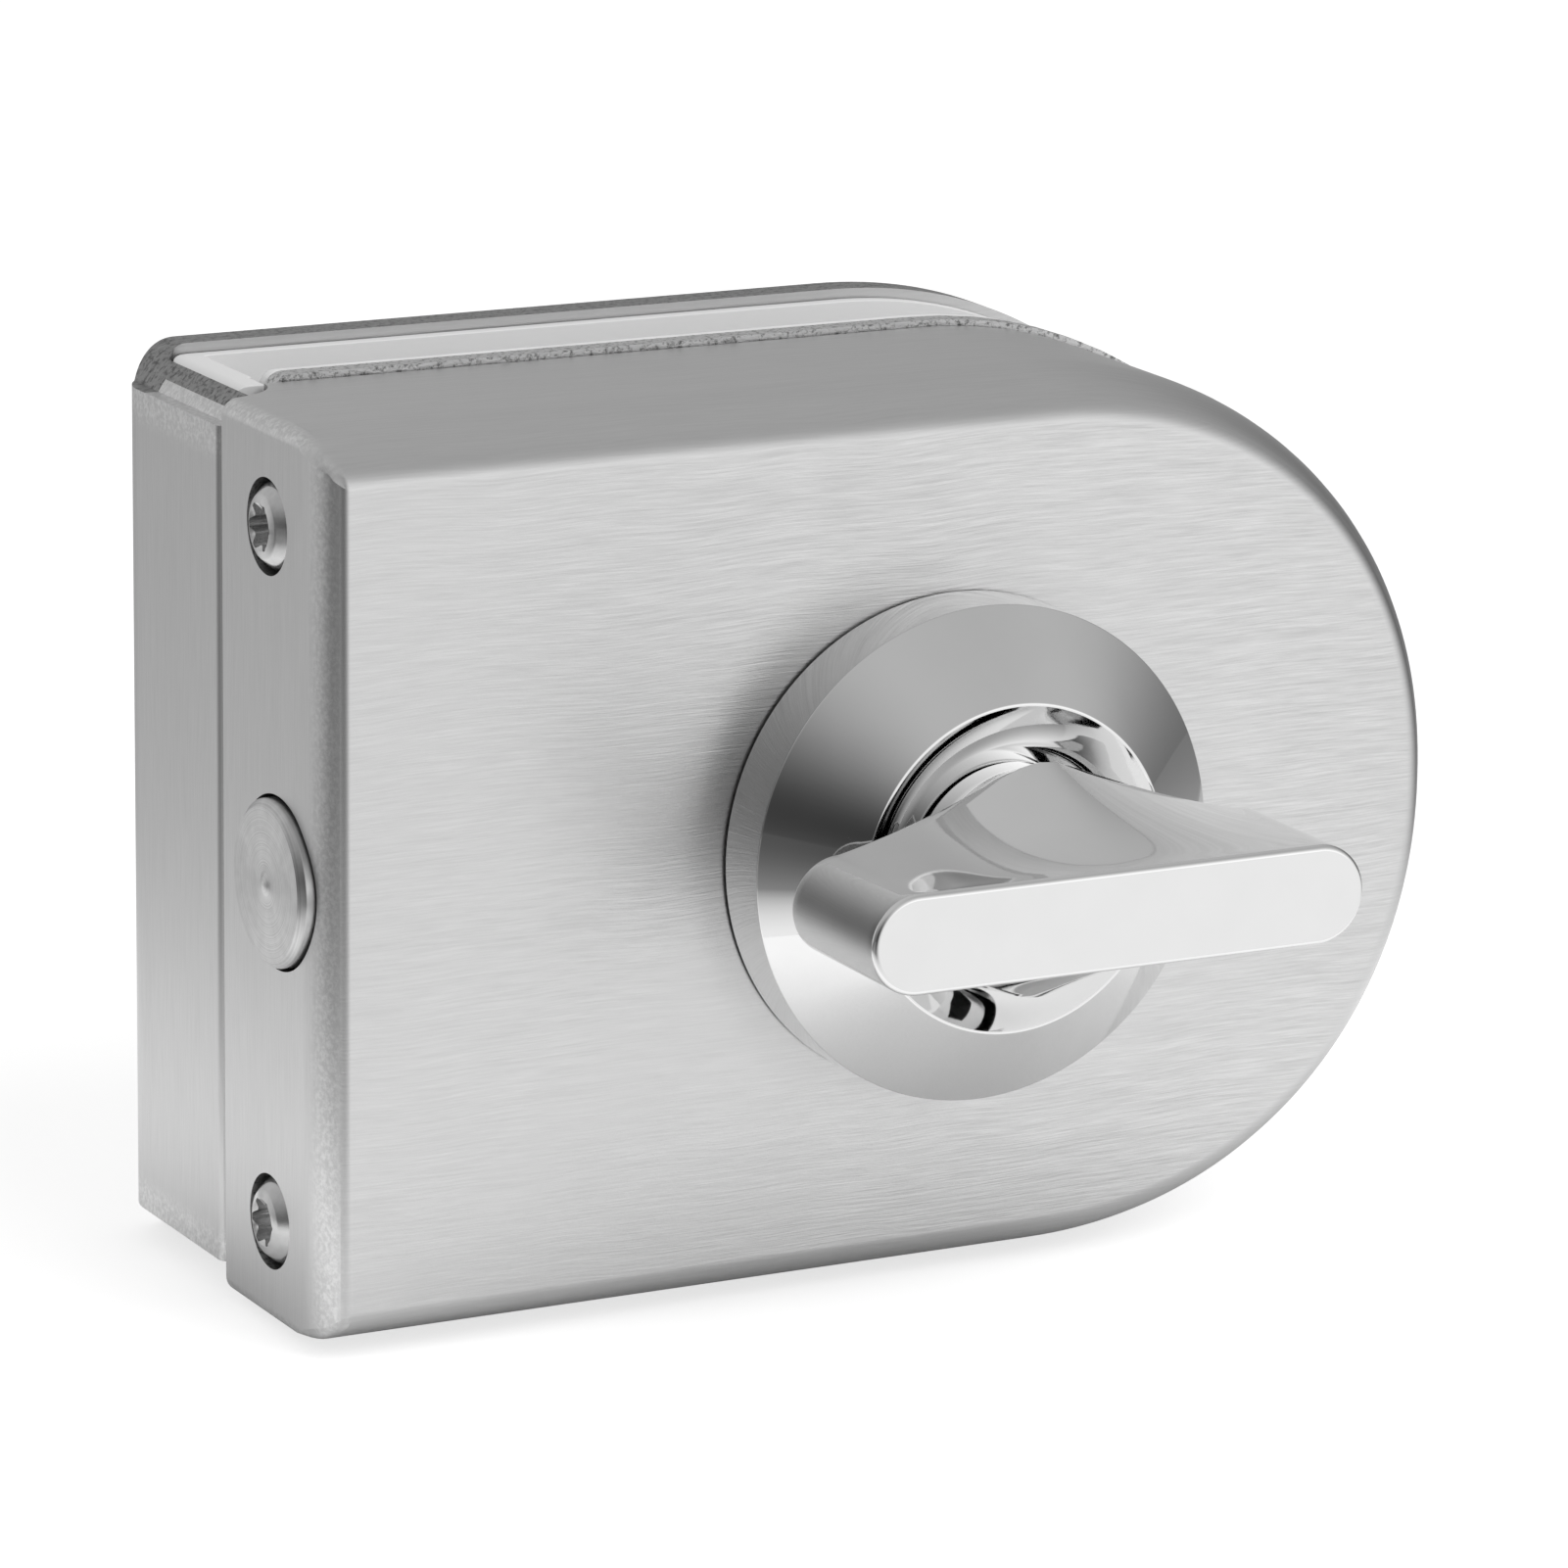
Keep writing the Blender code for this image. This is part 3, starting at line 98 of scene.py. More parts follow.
def colour(code):
    """sRGB hex to linear RGBA."""
    parts = [int(code[n:n + 2], 16) / 255 for n in (1, 3, 5)]
    return tuple(c / 12.92 if c <= 0.04045 else ((c + 0.055) / 1.055) ** 2.4 for c in parts) + (1.0,)


def node(tree, kind, inputs=None, **settings):
    """Adds a node with its settings, values and links."""
    made = tree.nodes.new("ShaderNode" + kind)
    for name, value in settings.items():
        setattr(made, name, value)
    for name, value in (inputs or {}).items():
        if isinstance(value, bpy.types.NodeSocket):
            tree.links.new(value, made.inputs[name])
        else:
            made.inputs[name].default_value = value
    return made


def blank(name):
    """Material with an empty node tree, and its output."""
    made = bpy.data.materials.new(name)
    made.use_nodes = True
    made.node_tree.nodes.clear()
    return made, made.node_tree, node(made.node_tree, "OutputMaterial")


def placed(name, work):
    """Object from a bmesh, at the origin."""
    mesh = bpy.data.meshes.new(name)
    work.to_mesh(mesh)
    work.free()
    made = bpy.data.objects.new(name, mesh)
    scene.collection.objects.link(made)
    return made


def shaded(name, level, spots, fade=(0.0, 0.001)):
    """Glowing material whose level changes with the direction from the lock.

    Each spot is its direction, its sharpness and its strength. The change fades in between two
    distances from the lock.
    """
    made, tree, output = blank(name)
    place = node(tree, "TexCoord").outputs["Object"]
    way = node(tree, "VectorMath", {0: place}, operation="NORMALIZE")
    total = None
    for towards, sharpness, strength in spots:
        aim = Vector(towards).normalized()
        facing = node(tree, "VectorMath", {0: way.outputs[0], 1: aim}, operation="DOT_PRODUCT")
        near = node(tree, "Math", {0: facing.outputs["Value"], 1: 0.0}, operation="MAXIMUM")
        spot = node(tree, "Math", {0: near.outputs[0], 1: sharpness}, operation="POWER")
        part = node(tree, "Math", {0: spot.outputs[0], 1: strength}, operation="MULTIPLY")
        total = part if total is None else node(tree, "Math", {0: total.outputs[0], 1: part.outputs[0]})
    far = node(tree, "VectorMath", {0: place}, operation="LENGTH")
    share = node(
        tree, "MapRange",
        {"Value": far.outputs["Value"], "From Min": fade[0], "From Max": fade[1]},
    )
    change = node(tree, "Math", {0: total.outputs[0], 1: share.outputs[0]}, operation="MULTIPLY")
    whole = node(tree, "Math", {0: change.outputs[0], 1: level})
    bright = node(tree, "Math", {0: whole.outputs[0], 1: 0.04}, operation="MAXIMUM")
    glow = node(tree, "Emission", {"Strength": bright.outputs[0]})
    tree.links.new(glow.outputs[0], output.inputs["Surface"])
    return made


# Paper of the floor: matt, and shown plain white by its glow; mirrored in the metal that glow darkens
# near the lock, a painted shadow from ambient occlusion
paper, tree, output = blank("matt white paper")
rays = node(tree, "LightPath")
shadow = node(tree, "AmbientOcclusion", {"Distance": SHADOW_REACH}, samples=8)
deep = node(tree, "Math", {0: shadow.outputs["AO"], 1: SHADOW_DEPTH}, operation="POWER")
shown = node(tree, "Math", {0: rays.outputs["Is Glossy Ray"], 1: deep.outputs[0]}, operation="MULTIPLY")
seen = node(tree, "Math", {0: rays.outputs["Is Camera Ray"], 1: shown.outputs[0]}, operation="MAXIMUM")
seen = node(
    tree, "Math", {0: seen.outputs[0], 1: rays.outputs["Is Transmission Ray"]},
    operation="MAXIMUM",
)
lift = node(tree, "Math", {0: seen.outputs[0], 1: FLOOR_LIFT}, operation="MULTIPLY")
glow = node(tree, "Emission", {"Strength": lift.outputs[0]})
matt = node(tree, "BsdfDiffuse", {"Color": colour(FLOOR_SHADE)})
both = node(tree, "AddShader", {0: glow.outputs[0], 1: matt.outputs[0]})
tree.links.new(both.outputs[0], output.inputs["Surface"])

work = bmesh.new()
bmesh.ops.create_grid(work, x_segments=1, y_segments=1, size=FLOOR_WIDTH / 2)
bmesh.ops.translate(work, vec=(0, 0, FLOOR_AT), verts=work.verts)
floor = placed("floor", work)
floor.data.materials.append(paper)

# Cards: dark at the left, the front left and the right, mid grey at the back, else white
work = bmesh.new()
bmesh.ops.create_circle(work, segments=96, radius=CARDS_FROM)
grown = bmesh.ops.extrude_edge_only(work, edges=work.edges)
outer = [v for v in grown["geom"] if isinstance(v, bmesh.types.BMVert)]
bmesh.ops.scale(work, vec=(CARDS_TO / CARDS_FROM, CARDS_TO / CARDS_FROM, 1), verts=outer)
bmesh.ops.translate(work, vec=(0, 0, FLOOR_AT + 0.0005), verts=work.verts)
cards = placed("cards", work)
cards.data.materials.append(
    shaded(
        "grey card", 1.0,
        [
            ((-0.97, 0.00, 0), 6.0, -0.85),
            ((-0.60, -0.80, 0), 9.0, -0.90),
            ((0.93, 0.36, 0), 5.0, -0.90),
            ((-0.30, 0.95, 0), 8.0, -0.60),
        ],
        (0.10, 0.16),
    )
)
for hidden_from in ("visible_camera", "visible_diffuse", "visible_shadow", "visible_transmission"):
    setattr(cards, hidden_from, False)

# Cloth of the tent: brightest at the front right, dim at both sides and where the camera looks in
work = bmesh.new()
bmesh.ops.create_uvsphere(work, u_segments=48, v_segments=24, radius=TENT_RADIUS)
tent = placed("tent", work)
tent.data.materials.append(
    shaded(
        "white tent cloth", 0.56,
        [
            ((0.48, -0.86, -0.05), 4.0, 0.75),
            ((-0.97, 0.00, 0.0), 6.0, -0.40),
            ((-0.60, -0.80, 0.10), 7.0, -0.50),
            ((0.93, 0.36, 0.0), 5.0, -0.45),
            ((0.45, -0.40, 0.80), 6.0, -0.12),
            ((-0.75, 0.62, 0.0), 8.0, 0.25),
        ],
    )
)
tent.visible_camera = False

world = bpy.data.worlds.new("white")
world.use_nodes = True
world.node_tree.nodes["Background"].inputs["Color"].default_value = (1, 1, 1, 1)
world.node_tree.nodes["Background"].inputs["Strength"].default_value = 1.0
scene.world = world

lamp = bpy.data.lights.new("soft lamp", "AREA")
lamp.shape = "DISK"
lamp.size = LAMP_WIDTH
lamp.energy = LAMP_WATTS
light = bpy.data.objects.new("soft lamp", lamp)
light.location = LAMP_AT
light.rotation_euler = (Vector((0, 0, 0)) - light.location).to_track_quat("-Z", "Y").to_euler()
light.visible_glossy = False
scene.collection.objects.link(light)


# Cover: a D-shaped cap of stainless steel, its front edge drawn round, open at the back.
# Its front is belt-ground in long straight strokes. Two screws in its bolt side hold it.
BOLT_SIDE = -0.0543
ARC_X = 0.0093
HALF_HEIGHT = 0.0364
END_MORE = 0.0007
END_FULLNESS = 2.1
FACE = -0.0278
COVER_BACK = -0.0036
COVER_WALL = 0.0015
SIDE_WALL = 0.0024
SIDE_WALL_DEPTH = 0.0199
FRONT_ROUND = 0.0037
SIDE_ROUND = 0.002
ROUND_STRETCH = 2.4
CORNER_ROUND = 0.0014
INNER_ROUND = 0.0003
BACK_CORNER = 0.0055
BOLT_Y = -0.0183
BOLT_BORE = 0.0070
SCREW_Y = -0.0166
SCREW_Z = 0.028
SCREW_SEAT = 0.00385
SCREW_SEAT_DEPTH = 0.0015
SCREW_HOLE = 0.0023
SPINDLE_HOLE = 0.0079
OVERCUT = 0.002
THROUGH = 0.004
BLANK_HALF = 0.0384


def filled(work, points, along):
    """Outline filled and extruded along a direction."""
    face = work.faces.new([work.verts.new(p) for p in points])
    grown = bmesh.ops.extrude_face_region(work, geom=[face], use_keep_orig=True)
    moved = [v for v in grown["geom"] if isinstance(v, bmesh.types.BMVert)]
    bmesh.ops.translate(work, vec=along, verts=moved)
    bmesh.ops.recalc_face_normals(work, faces=work.faces)


def arc(centre, radius, start, end, steps):
    """Points of an arc in a plane, angles in degrees."""
    turns = [math.radians(start + (end - start) * n / steps) for n in range(steps + 1)]
    return [(centre[0] + radius * math.cos(a), centre[1] + radius * math.sin(a)) for a in turns]


def round_end(half_height, steps=112):
    """Right end of the lock's outline, bottom to top, a little fuller than a half circle."""
    made = []
    for n in range(steps + 1):
        a = -math.pi / 2 + math.pi * n / steps
        along = max(math.cos(a), 0.0) ** (2 / END_FULLNESS)
        up = math.copysign(abs(math.sin(a)) ** (2 / END_FULLNESS), math.sin(a))
        made.append((ARC_X + (half_height + END_MORE) * along, half_height * up))
    return made


def d_outline(inset, left, corner=0.0):
    """Outline of the lock with a straight left side, its corners rounded where a radius is given."""
    top = HALF_HEIGHT - inset
    made = round_end(top)
    if corner:
        made += arc((left + corner, top - corner), corner, 90, 180, 8)
        return made + arc((left + corner, corner - top), corner, 180, 270, 8)
    return made + [(left, top), (left, -top)]


def cylinder(name, radius, start, end, steps=96, tip=None):
    """Round cutter between two points."""
    a, b = Vector(start), Vector(end)
    end_radius = radius if tip is None else tip
    work = bmesh.new()
    bmesh.ops.create_cone(
        work, cap_ends=True, segments=steps, radius1=radius, radius2=end_radius, depth=(b - a).length
    )
    turned = (b - a).to_track_quat("Z", "Y").to_matrix().to_4x4()
    bmesh.ops.transform(work, matrix=Matrix.Translation((a + b) / 2) @ turned, verts=work.verts)
    return placed(name, work)


def settle(made, cutters=(), kept=None, added=None):
    """Adds to a solid, keeps what lies in another, cuts it, and makes that the piece's own mesh."""
    steps = [(added, "UNION")] if added else []
    steps += [(kept, "INTERSECT")] if kept else []
    steps += [(cutter, "DIFFERENCE") for cutter in cutters]
    for other, operation in steps:
        change = made.modifiers.new(other.name, "BOOLEAN")
        change.object = other
        change.operation = operation
        change.solver = "EXACT"
        change.material_mode = "TRANSFER"
    bpy.context.view_layer.update()
    drawn = made.evaluated_get(bpy.context.evaluated_depsgraph_get())
    mesh = bpy.data.meshes.new_from_object(drawn)
    made.modifiers.clear()
    made.data = mesh
    for other, operation in steps:
        bpy.data.objects.remove(other, do_unlink=True)
    return made


def finished(made, body, nodes, angle=30):
    """Smooths a piece, ties it to its body and hides the CAD nodes it stands in for."""
    made.data.shade_smooth()
    made.data.set_sharp_from_angle(angle=math.radians(angle))
    even = made.modifiers.new("even normals", "WEIGHTED_NORMAL")
    even.keep_sharp = True
    even.weight = 100
    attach(made, body)
    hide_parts(*nodes)
    return made


def edge_highlight_and_wear_lines(tree, lines):
    """Mask of the tumbled edges with their painted highlight: how near a point is to lines, each given by
    a point, spread and reach.
    """
    place = node(tree, "TexCoord").outputs["Object"]
    mask = None
    for point, spread, reach in lines:
        away = node(tree, "VectorMath", {0: place, 1: point}, operation="SUBTRACT")
        flat = node(tree, "VectorMath", {0: away.outputs[0], 1: spread}, operation="MULTIPLY")
        far = node(tree, "VectorMath", {0: flat.outputs[0]}, operation="LENGTH")
        near = node(
            tree, "MapRange",
            {
                "Value": far.outputs["Value"], "From Min": 0.35 * reach, "From Max": reach,
                "To Min": 1.0, "To Max": 0.0,
            },
            interpolation_type="SMOOTHSTEP",
        )
        if mask is None:
            mask = near.outputs[0]
        else:
            mask = node(tree, "Math", {0: mask, 1: near.outputs[0]}, operation="MAXIMUM").outputs[0]
    return mask


def stainless(name, lines):
    """Belt-ground stainless steel: grey-white, with fine strokes that spread the light across them.

    The strokes are about 6 mm long and 0.2 mm apart, the coarsest that such a belt leaves. Along
    the edge lines the metal is tumbled and carries a painted highlight: a fine bright mottle in
    place of the strokes.
    """
    made, tree, output = blank(name)
    grain = node(tree, "UVMap", uv_map="grain")
    strong = node(tree, "Attribute", attribute_name="ground")
    sway = node(
        tree, "TexNoise", {"Vector": grain.outputs[0], "Scale": 1 / 0.018, "Detail": 1.0},
        noise_dimensions="2D",
    )
    bent = node(tree, "Math", {0: sway.outputs[0], 1: 0.0012}, operation="MULTIPLY")
    split = node(tree, "SeparateXYZ", {0: grain.outputs[0]})
    across = node(tree, "Math", {0: split.outputs[1], 1: bent.outputs[0]})
    fine_at = node(tree, "CombineXYZ", {0: split.outputs[0], 1: across.outputs[0]})
    fine_at = node(
        tree, "VectorMath", {0: fine_at.outputs[0], 1: (1 / 0.006, 1 / 0.0002, 1)},
        operation="MULTIPLY",
    )
    fine = node(
        tree, "TexNoise", {"Vector": fine_at.outputs[0], "Scale": 1.0, "Detail": 4.0, "Roughness": 0.68},
        noise_dimensions="2D",
    )
    broad_at = node(
        tree, "VectorMath", {0: grain.outputs[0], 1: (1 / 0.030, 1 / 0.0011, 1)},
        operation="MULTIPLY",
    )
    broad = node(
        tree, "TexNoise", {"Vector": broad_at.outputs[0], "Scale": 1.0, "Detail": 2.0},
        noise_dimensions="2D",
    )
    both = node(
        tree, "Mix", {"Factor": 0.18, "A": fine.outputs[0], "B": broad.outputs[0]},
        data_type="FLOAT",
    )
    stroke = node(
        tree, "MapRange",
        {"Value": both.outputs[0], "From Min": 0.30, "From Max": 0.70, "To Min": -1.0, "To Max": 1.0},
    )
    stroke = node(tree, "Math", {0: stroke.outputs[0], 1: strong.outputs["Fac"]}, operation="MULTIPLY")
    place = node(tree, "TexCoord").outputs["Object"]
    mottle = node(
        tree, "TexNoise",
        {"Vector": place, "Scale": 1 / 0.0004, "Detail": 3.0, "Roughness": 0.65},
    )
    # Painted highlight with wear: along the edge lines a fine mottle lightens the steel
    edge_highlight_and_wear = edge_highlight_and_wear_lines(tree, lines)
    specks = node(
        tree, "MapRange", {"Value": mottle.outputs[0], "From Min": 0.36, "From Max": 0.70},
        interpolation_type="SMOOTHSTEP",
    )
    bright = node(tree, "Math", {0: specks.outputs[0], 1: edge_highlight_and_wear}, operation="MULTIPLY")
    shade = node(tree, "MapRange", {"Value": stroke.outputs[0], "From Min": -1.0, "From Max": 1.0})
    metal = node(
        tree, "Mix", {"Factor": shade.outputs[0], "A": colour("#C6C6C6"), "B": colour("#DEDEDE")},
        data_type="RGBA",
    )
    # The edge mottle mixes in near-white steel, a painted highlight with wear
    metal = node(
        tree, "Mix", {"Factor": bright.outputs[0], "A": metal.outputs["Result"], "B": colour("#ECECEC")},
        data_type="RGBA",
    )
    rough = node(
        tree, "MapRange",
        {"Value": stroke.outputs[0], "From Min": -1.0, "From Max": 1.0, "To Min": 0.40, "To Max": 0.27},
    )
    height = node(
        tree, "Mix", {"Factor": edge_highlight_and_wear, "A": stroke.outputs[0], "B": mottle.outputs[0]},
        data_type="FLOAT",
    )
    relief = node(tree, "Bump", {"Height": height.outputs[0], "Strength": 0.30, "Distance": 0.00003})
    tangent = node(tree, "Tangent", direction_type="UV_MAP", uv_map="grain")
    shader = node(
        tree, "BsdfPrincipled",
        {
            "Base Color": metal.outputs["Result"], "Metallic": 1.0, "Roughness": rough.outputs[0],
            "Anisotropic": 0.55, "Anisotropic Rotation": 0.25,
            "Normal": relief.outputs[0], "Tangent": tangent.outputs[0],
        },
    )
    tree.links.new(shader.outputs[0], output.inputs["Surface"])
    return made


# Cut edge of stainless sheet: sawn and tumbled, so it is darker, with pits of half a millimetre
# and short scratches along X
cut_edge, tree, output = blank("tumbled cut edge of stainless sheet")
place = node(tree, "TexCoord").outputs["Object"]
pits = node(tree, "TexNoise", {"Vector": place, "Scale": 1 / 0.0005, "Detail": 4.0, "Roughness": 0.7})
drawn_at = node(tree, "VectorMath", {0: place, 1: (300, 3500, 2500)}, operation="MULTIPLY")
drawn = node(tree, "TexNoise", {"Vector": drawn_at.outputs[0], "Scale": 1.0, "Detail": 3.0})
spots = node(tree, "MapRange", {"Value": pits.outputs[0], "From Min": 0.36, "From Max": 0.52})
tone = node(
    tree, "Mix", {"Factor": drawn.outputs[0], "A": colour("#7E7E7E"), "B": colour("#B2B2B2")},
    data_type="RGBA",
)
tone = node(
    tree, "Mix", {"Factor": spots.outputs[0], "A": colour("#5E5E5E"), "B": tone.outputs["Result"]},
    data_type="RGBA",
)
relief = node(tree, "Bump", {"Height": pits.outputs[0], "Strength": 0.6, "Distance": 0.0001})
shader = node(
    tree, "BsdfPrincipled",
    {
        "Base Color": tone.outputs["Result"], "Metallic": 1.0, "Roughness": 0.42,
        "Normal": relief.outputs[0],
    },
)
tree.links.new(shader.outputs[0], output.inputs["Surface"])


def ground(made):
    """Maps the strokes on a piece: level on its flat faces, along its outline on its edges.

    The map is in metres, first along the strokes and then across. The attribute says how plainly
    the strokes show: fully on the flat front, faintly elsewhere.
    """
    work = bmesh.new()
    work.from_mesh(made.data)
    grain = work.loops.layers.uv.new("grain")
    shown = work.verts.layers.float.new("ground")
    for face in work.faces:
        for loop in face.loops:
            x, y, z = loop.vert.co
            if abs(face.normal.y) > 0.75:
                run = (x, z)
            elif face.normal.x < -0.6:
                run = (z, y)
            else:
                around = math.atan2(z, max(x - ARC_X, 0.0))
                run = (min(x, ARC_X) * math.copysign(1.0, z) - HALF_HEIGHT * around, y)
            loop[grain].uv = run
    for vert in work.verts:
        steep = min((abs(face.normal.y) for face in vert.link_faces), default=0.0)
        vert[shown] = 0.3 + 0.7 * max(0.0, (steep - 0.9) / 0.1)
    work.to_mesh(made.data)
    work.free()


# Edge lines of the cover: its front-left round and the rounds at the top and bottom of its bolt side,
# where a painted highlight with wear lies
steel = stainless(
    "belt-ground stainless steel",
    [
        ((BOLT_SIDE, FACE, 0), (1, 1 / ROUND_STRETCH, 0), 0.0017),
        ((BOLT_SIDE, 0, HALF_HEIGHT), (1, 0, 1), 0.0016),
        ((BOLT_SIDE, 0, -HALF_HEIGHT), (1, 0, 1), 0.0016),
    ],
)


def cover_block(name, inset):
    """D-shaped block with rounded front edges, rounded while short and then drawn out to its depth."""
    left = BOLT_SIDE + (SIDE_WALL if inset else 0.0)
    back = COVER_BACK + (OVERCUT if inset else 0.0)
    side = INNER_ROUND if inset else SIDE_ROUND
    corner = INNER_ROUND if inset else CORNER_ROUND
    work = bmesh.new()
    points = [(x, 0, z) for x, z in d_outline(inset, left)]
    filled(work, points, (0, (back - FACE - inset) / ROUND_STRETCH, 0))
    weight = work.edges.layers.float.new("bevel_weight_edge")
    for edge in work.edges:
        a, b = (v.co for v in edge.verts)
        front = max(a.y, b.y) < 1e-5
        at_left = max(a.x, b.x) < left + 1e-5
        if at_left and abs(a.z - b.z) < 1e-6:
            edge[weight] = corner / FRONT_ROUND
        elif front and at_left:
            edge[weight] = side / FRONT_ROUND
        elif front:
            edge[weight] = (FRONT_ROUND - inset) / FRONT_ROUND
    made = placed(name, work)
    bevel = made.modifiers.new("rounding", "BEVEL")
    bevel.limit_method = "WEIGHT"
    bevel.offset_type = "OFFSET"
    bevel.width = FRONT_ROUND
    bevel.segments = 12
    bevel.use_clamp_overlap = False
    settle(made)
    stretched = Matrix.Diagonal((1, ROUND_STRETCH, 1, 1))
    made.data.transform(Matrix.Translation((0, FACE + inset, 0)) @ stretched)
    return made


side_back = FACE + SIDE_WALL_DEPTH
bend = [
    (BOLT_SIDE + BACK_CORNER * math.sin(a), COVER_BACK - (COVER_BACK - side_back) * math.cos(a))
    for a in (math.radians(6 * n) for n in range(16))
]
behind = COVER_BACK + 0.001
edge_points = [(BOLT_SIDE - OVERCUT, side_back)] + bend
edge_points += [(BOLT_SIDE + BACK_CORNER, behind), (BOLT_SIDE - OVERCUT, behind)]
work = bmesh.new()
filled(work, [(x, y, -BLANK_HALF) for x, y in edge_points], (0, 0, 2 * BLANK_HALF))
bolt_hole = [(BOLT_SIDE - OVERCUT, BOLT_Y, 0), (BOLT_SIDE + THROUGH, BOLT_Y, 0)]
cutters = [
    cover_block("cover_hollow", COVER_WALL),
    placed("cover_notch", work),
    cylinder("cover_bolt_hole", BOLT_BORE, *bolt_hole, 128),
    cylinder("cover_spindle_hole", SPINDLE_HOLE, (0, FACE - OVERCUT, 0), (0, FACE + THROUGH, 0)),
]
for sign in (-1, 1):
    at = (SCREW_Y, sign * SCREW_Z)
    seat = [(BOLT_SIDE - OVERCUT, *at), (BOLT_SIDE + SCREW_SEAT_DEPTH, *at)]
    cutters.append(cylinder(f"cover_seat_{sign}", SCREW_SEAT, *seat))
    hole = [(BOLT_SIDE, *at), (BOLT_SIDE + THROUGH, *at)]
    cutters.append(cylinder(f"cover_hole_{sign}", SCREW_HOLE, *hole))
for cutter in cutters:
    cutter.data.materials.clear()
    cutter.data.materials.append(cut_edge)
cover = cover_block("steel_cover", 0.0)
cover.data.materials.append(steel)
settle(cover, cutters)
ground(cover)
finished(cover, "case", ["cover"])


# Rear plate: one piece of the same steel, bent round the glass edge, with a lip for the clamp screws.
# Its outline is sawn and tumbled, so the edges are rounded, darker and pitted.
PLATE_FRONT = 0.0115
PLATE_BACK = 0.0145
PLATE_THICKNESS = 0.003
PLATE_PROUD = 0.0006
FLANGE_FRONT = -0.0072
FLANGE_INNER = BOLT_SIDE + PLATE_THICKNESS
BEND = 0.0055
LIP_BEND = 0.0008
LIP_INNER_BEND = 0.0004
LIP_LENGTH = 0.014
LIP_HALF_HEIGHT = 0.022
LIP_CUT_X = -0.0393
LIP_CUT_Y = (-0.0082, -0.0022)
LIP_CUT_HEIGHT = 0.0164
CLAMP_HOLE = 0.0023
CLAMP_X = -0.0448
CLAMP_Z = 0.0165
CLAMP_Y = (-0.0082, -0.0032)
PLATE_EDGE = 0.0005
SHOULDER = 0.0077
BEND_STARTS = 0.0075
SHOULDER_TURN = 51.5
HIGHLIGHT_AND_WEAR_TO = BOLT_SIDE + 0.0019
PAST = 0.0487
OUTLINE_DEPTH = 0.0247


def soften(made, width, angle):
    """Rounds the edges of a tumbled or moulded piece that turn by more than an angle in degrees."""
    bevel = made.modifiers.new("soft edges", "BEVEL")
    bevel.limit_method = "ANGLE"
    bevel.angle_limit = math.radians(angle)
    bevel.width = width
    bevel.segments = 3


# Edge lines of the sheet: the flange's top and bottom outer edges, where a painted highlight with wear
# lies
plate_steel = stainless(
    "belt-ground stainless sheet",
    [
        ((BOLT_SIDE + 0.0006, 0, 0.0338), (1, 0, 1), 0.0030),
        ((BOLT_SIDE + 0.0006, 0, -0.0338), (1, 0, 1), 0.0030),
    ],
)
section = [(PAST, PLATE_BACK)]
section += arc((BOLT_SIDE + BEND, PLATE_BACK - BEND), BEND, 90, 180, 20)
section += arc((BOLT_SIDE + LIP_BEND, FLANGE_FRONT + LIP_BEND), LIP_BEND, 180, 270, 12)
lip_end = BOLT_SIDE + LIP_LENGTH
lip_back = FLANGE_FRONT + PLATE_THICKNESS
section += [(lip_end, FLANGE_FRONT), (lip_end, lip_back)]
section += arc((FLANGE_INNER + LIP_INNER_BEND, lip_back + LIP_INNER_BEND), LIP_INNER_BEND, 270, 180, 4)
inner = BEND - PLATE_THICKNESS
section += arc((FLANGE_INNER + inner, PLATE_FRONT - inner), inner, 180, 90, 12)
section += [(PAST, PLATE_FRONT)]
work = bmesh.new()
filled(work, [(x, y, -BLANK_HALF) for x, y in section], (0, 0, 2 * BLANK_HALF))
plate = placed("steel_rear_plate", work)
plate.data.materials.append(plate_steel)

plate_top = HALF_HEIGHT + PLATE_PROUD
rise = []
for n in range(1, 17):
    a = math.radians(SHOULDER_TURN * n / 16)
    rise.append((BOLT_SIDE + BEND * (1 - math.sin(a)), plate_top - SHOULDER * (1 - math.cos(a))))
low = rise[-1][1]
outline = round_end(plate_top) + [(BOLT_SIDE + BEND, plate_top)] + rise
outline += [(BOLT_SIDE - OVERCUT, low), (BOLT_SIDE - OVERCUT, -low)]
outline += [(x, -z) for x, z in reversed(rise)] + [(BOLT_SIDE + BEND, -plate_top)]
work = bmesh.new()
filled(work, [(x, FLANGE_FRONT - 0.001, z) for x, z in outline], (0, OUTLINE_DEPTH, 0))
limit = placed("plate_outline", work)
limit.data.materials.append(cut_edge)
cutters = []
near, far = LIP_CUT_Y
corner = [(FLANGE_INNER, near), (LIP_CUT_X, near), (LIP_CUT_X, far), (FLANGE_INNER, far)]
for sign in (-1, 1):
    work = bmesh.new()
    filled(work, [(x, y, sign * LIP_HALF_HEIGHT) for x, y in corner], (0, 0, sign * LIP_CUT_HEIGHT))
    cutters.append(placed(f"lip_end_{sign}", work))
    hole = [(CLAMP_X, y, sign * CLAMP_Z) for y in CLAMP_Y]
    cutters.append(cylinder(f"lip_hole_{sign}", CLAMP_HOLE, *hole, 40))
for cutter in cutters:
    cutter.data.materials.append(cut_edge)
settle(plate, cutters, limit)

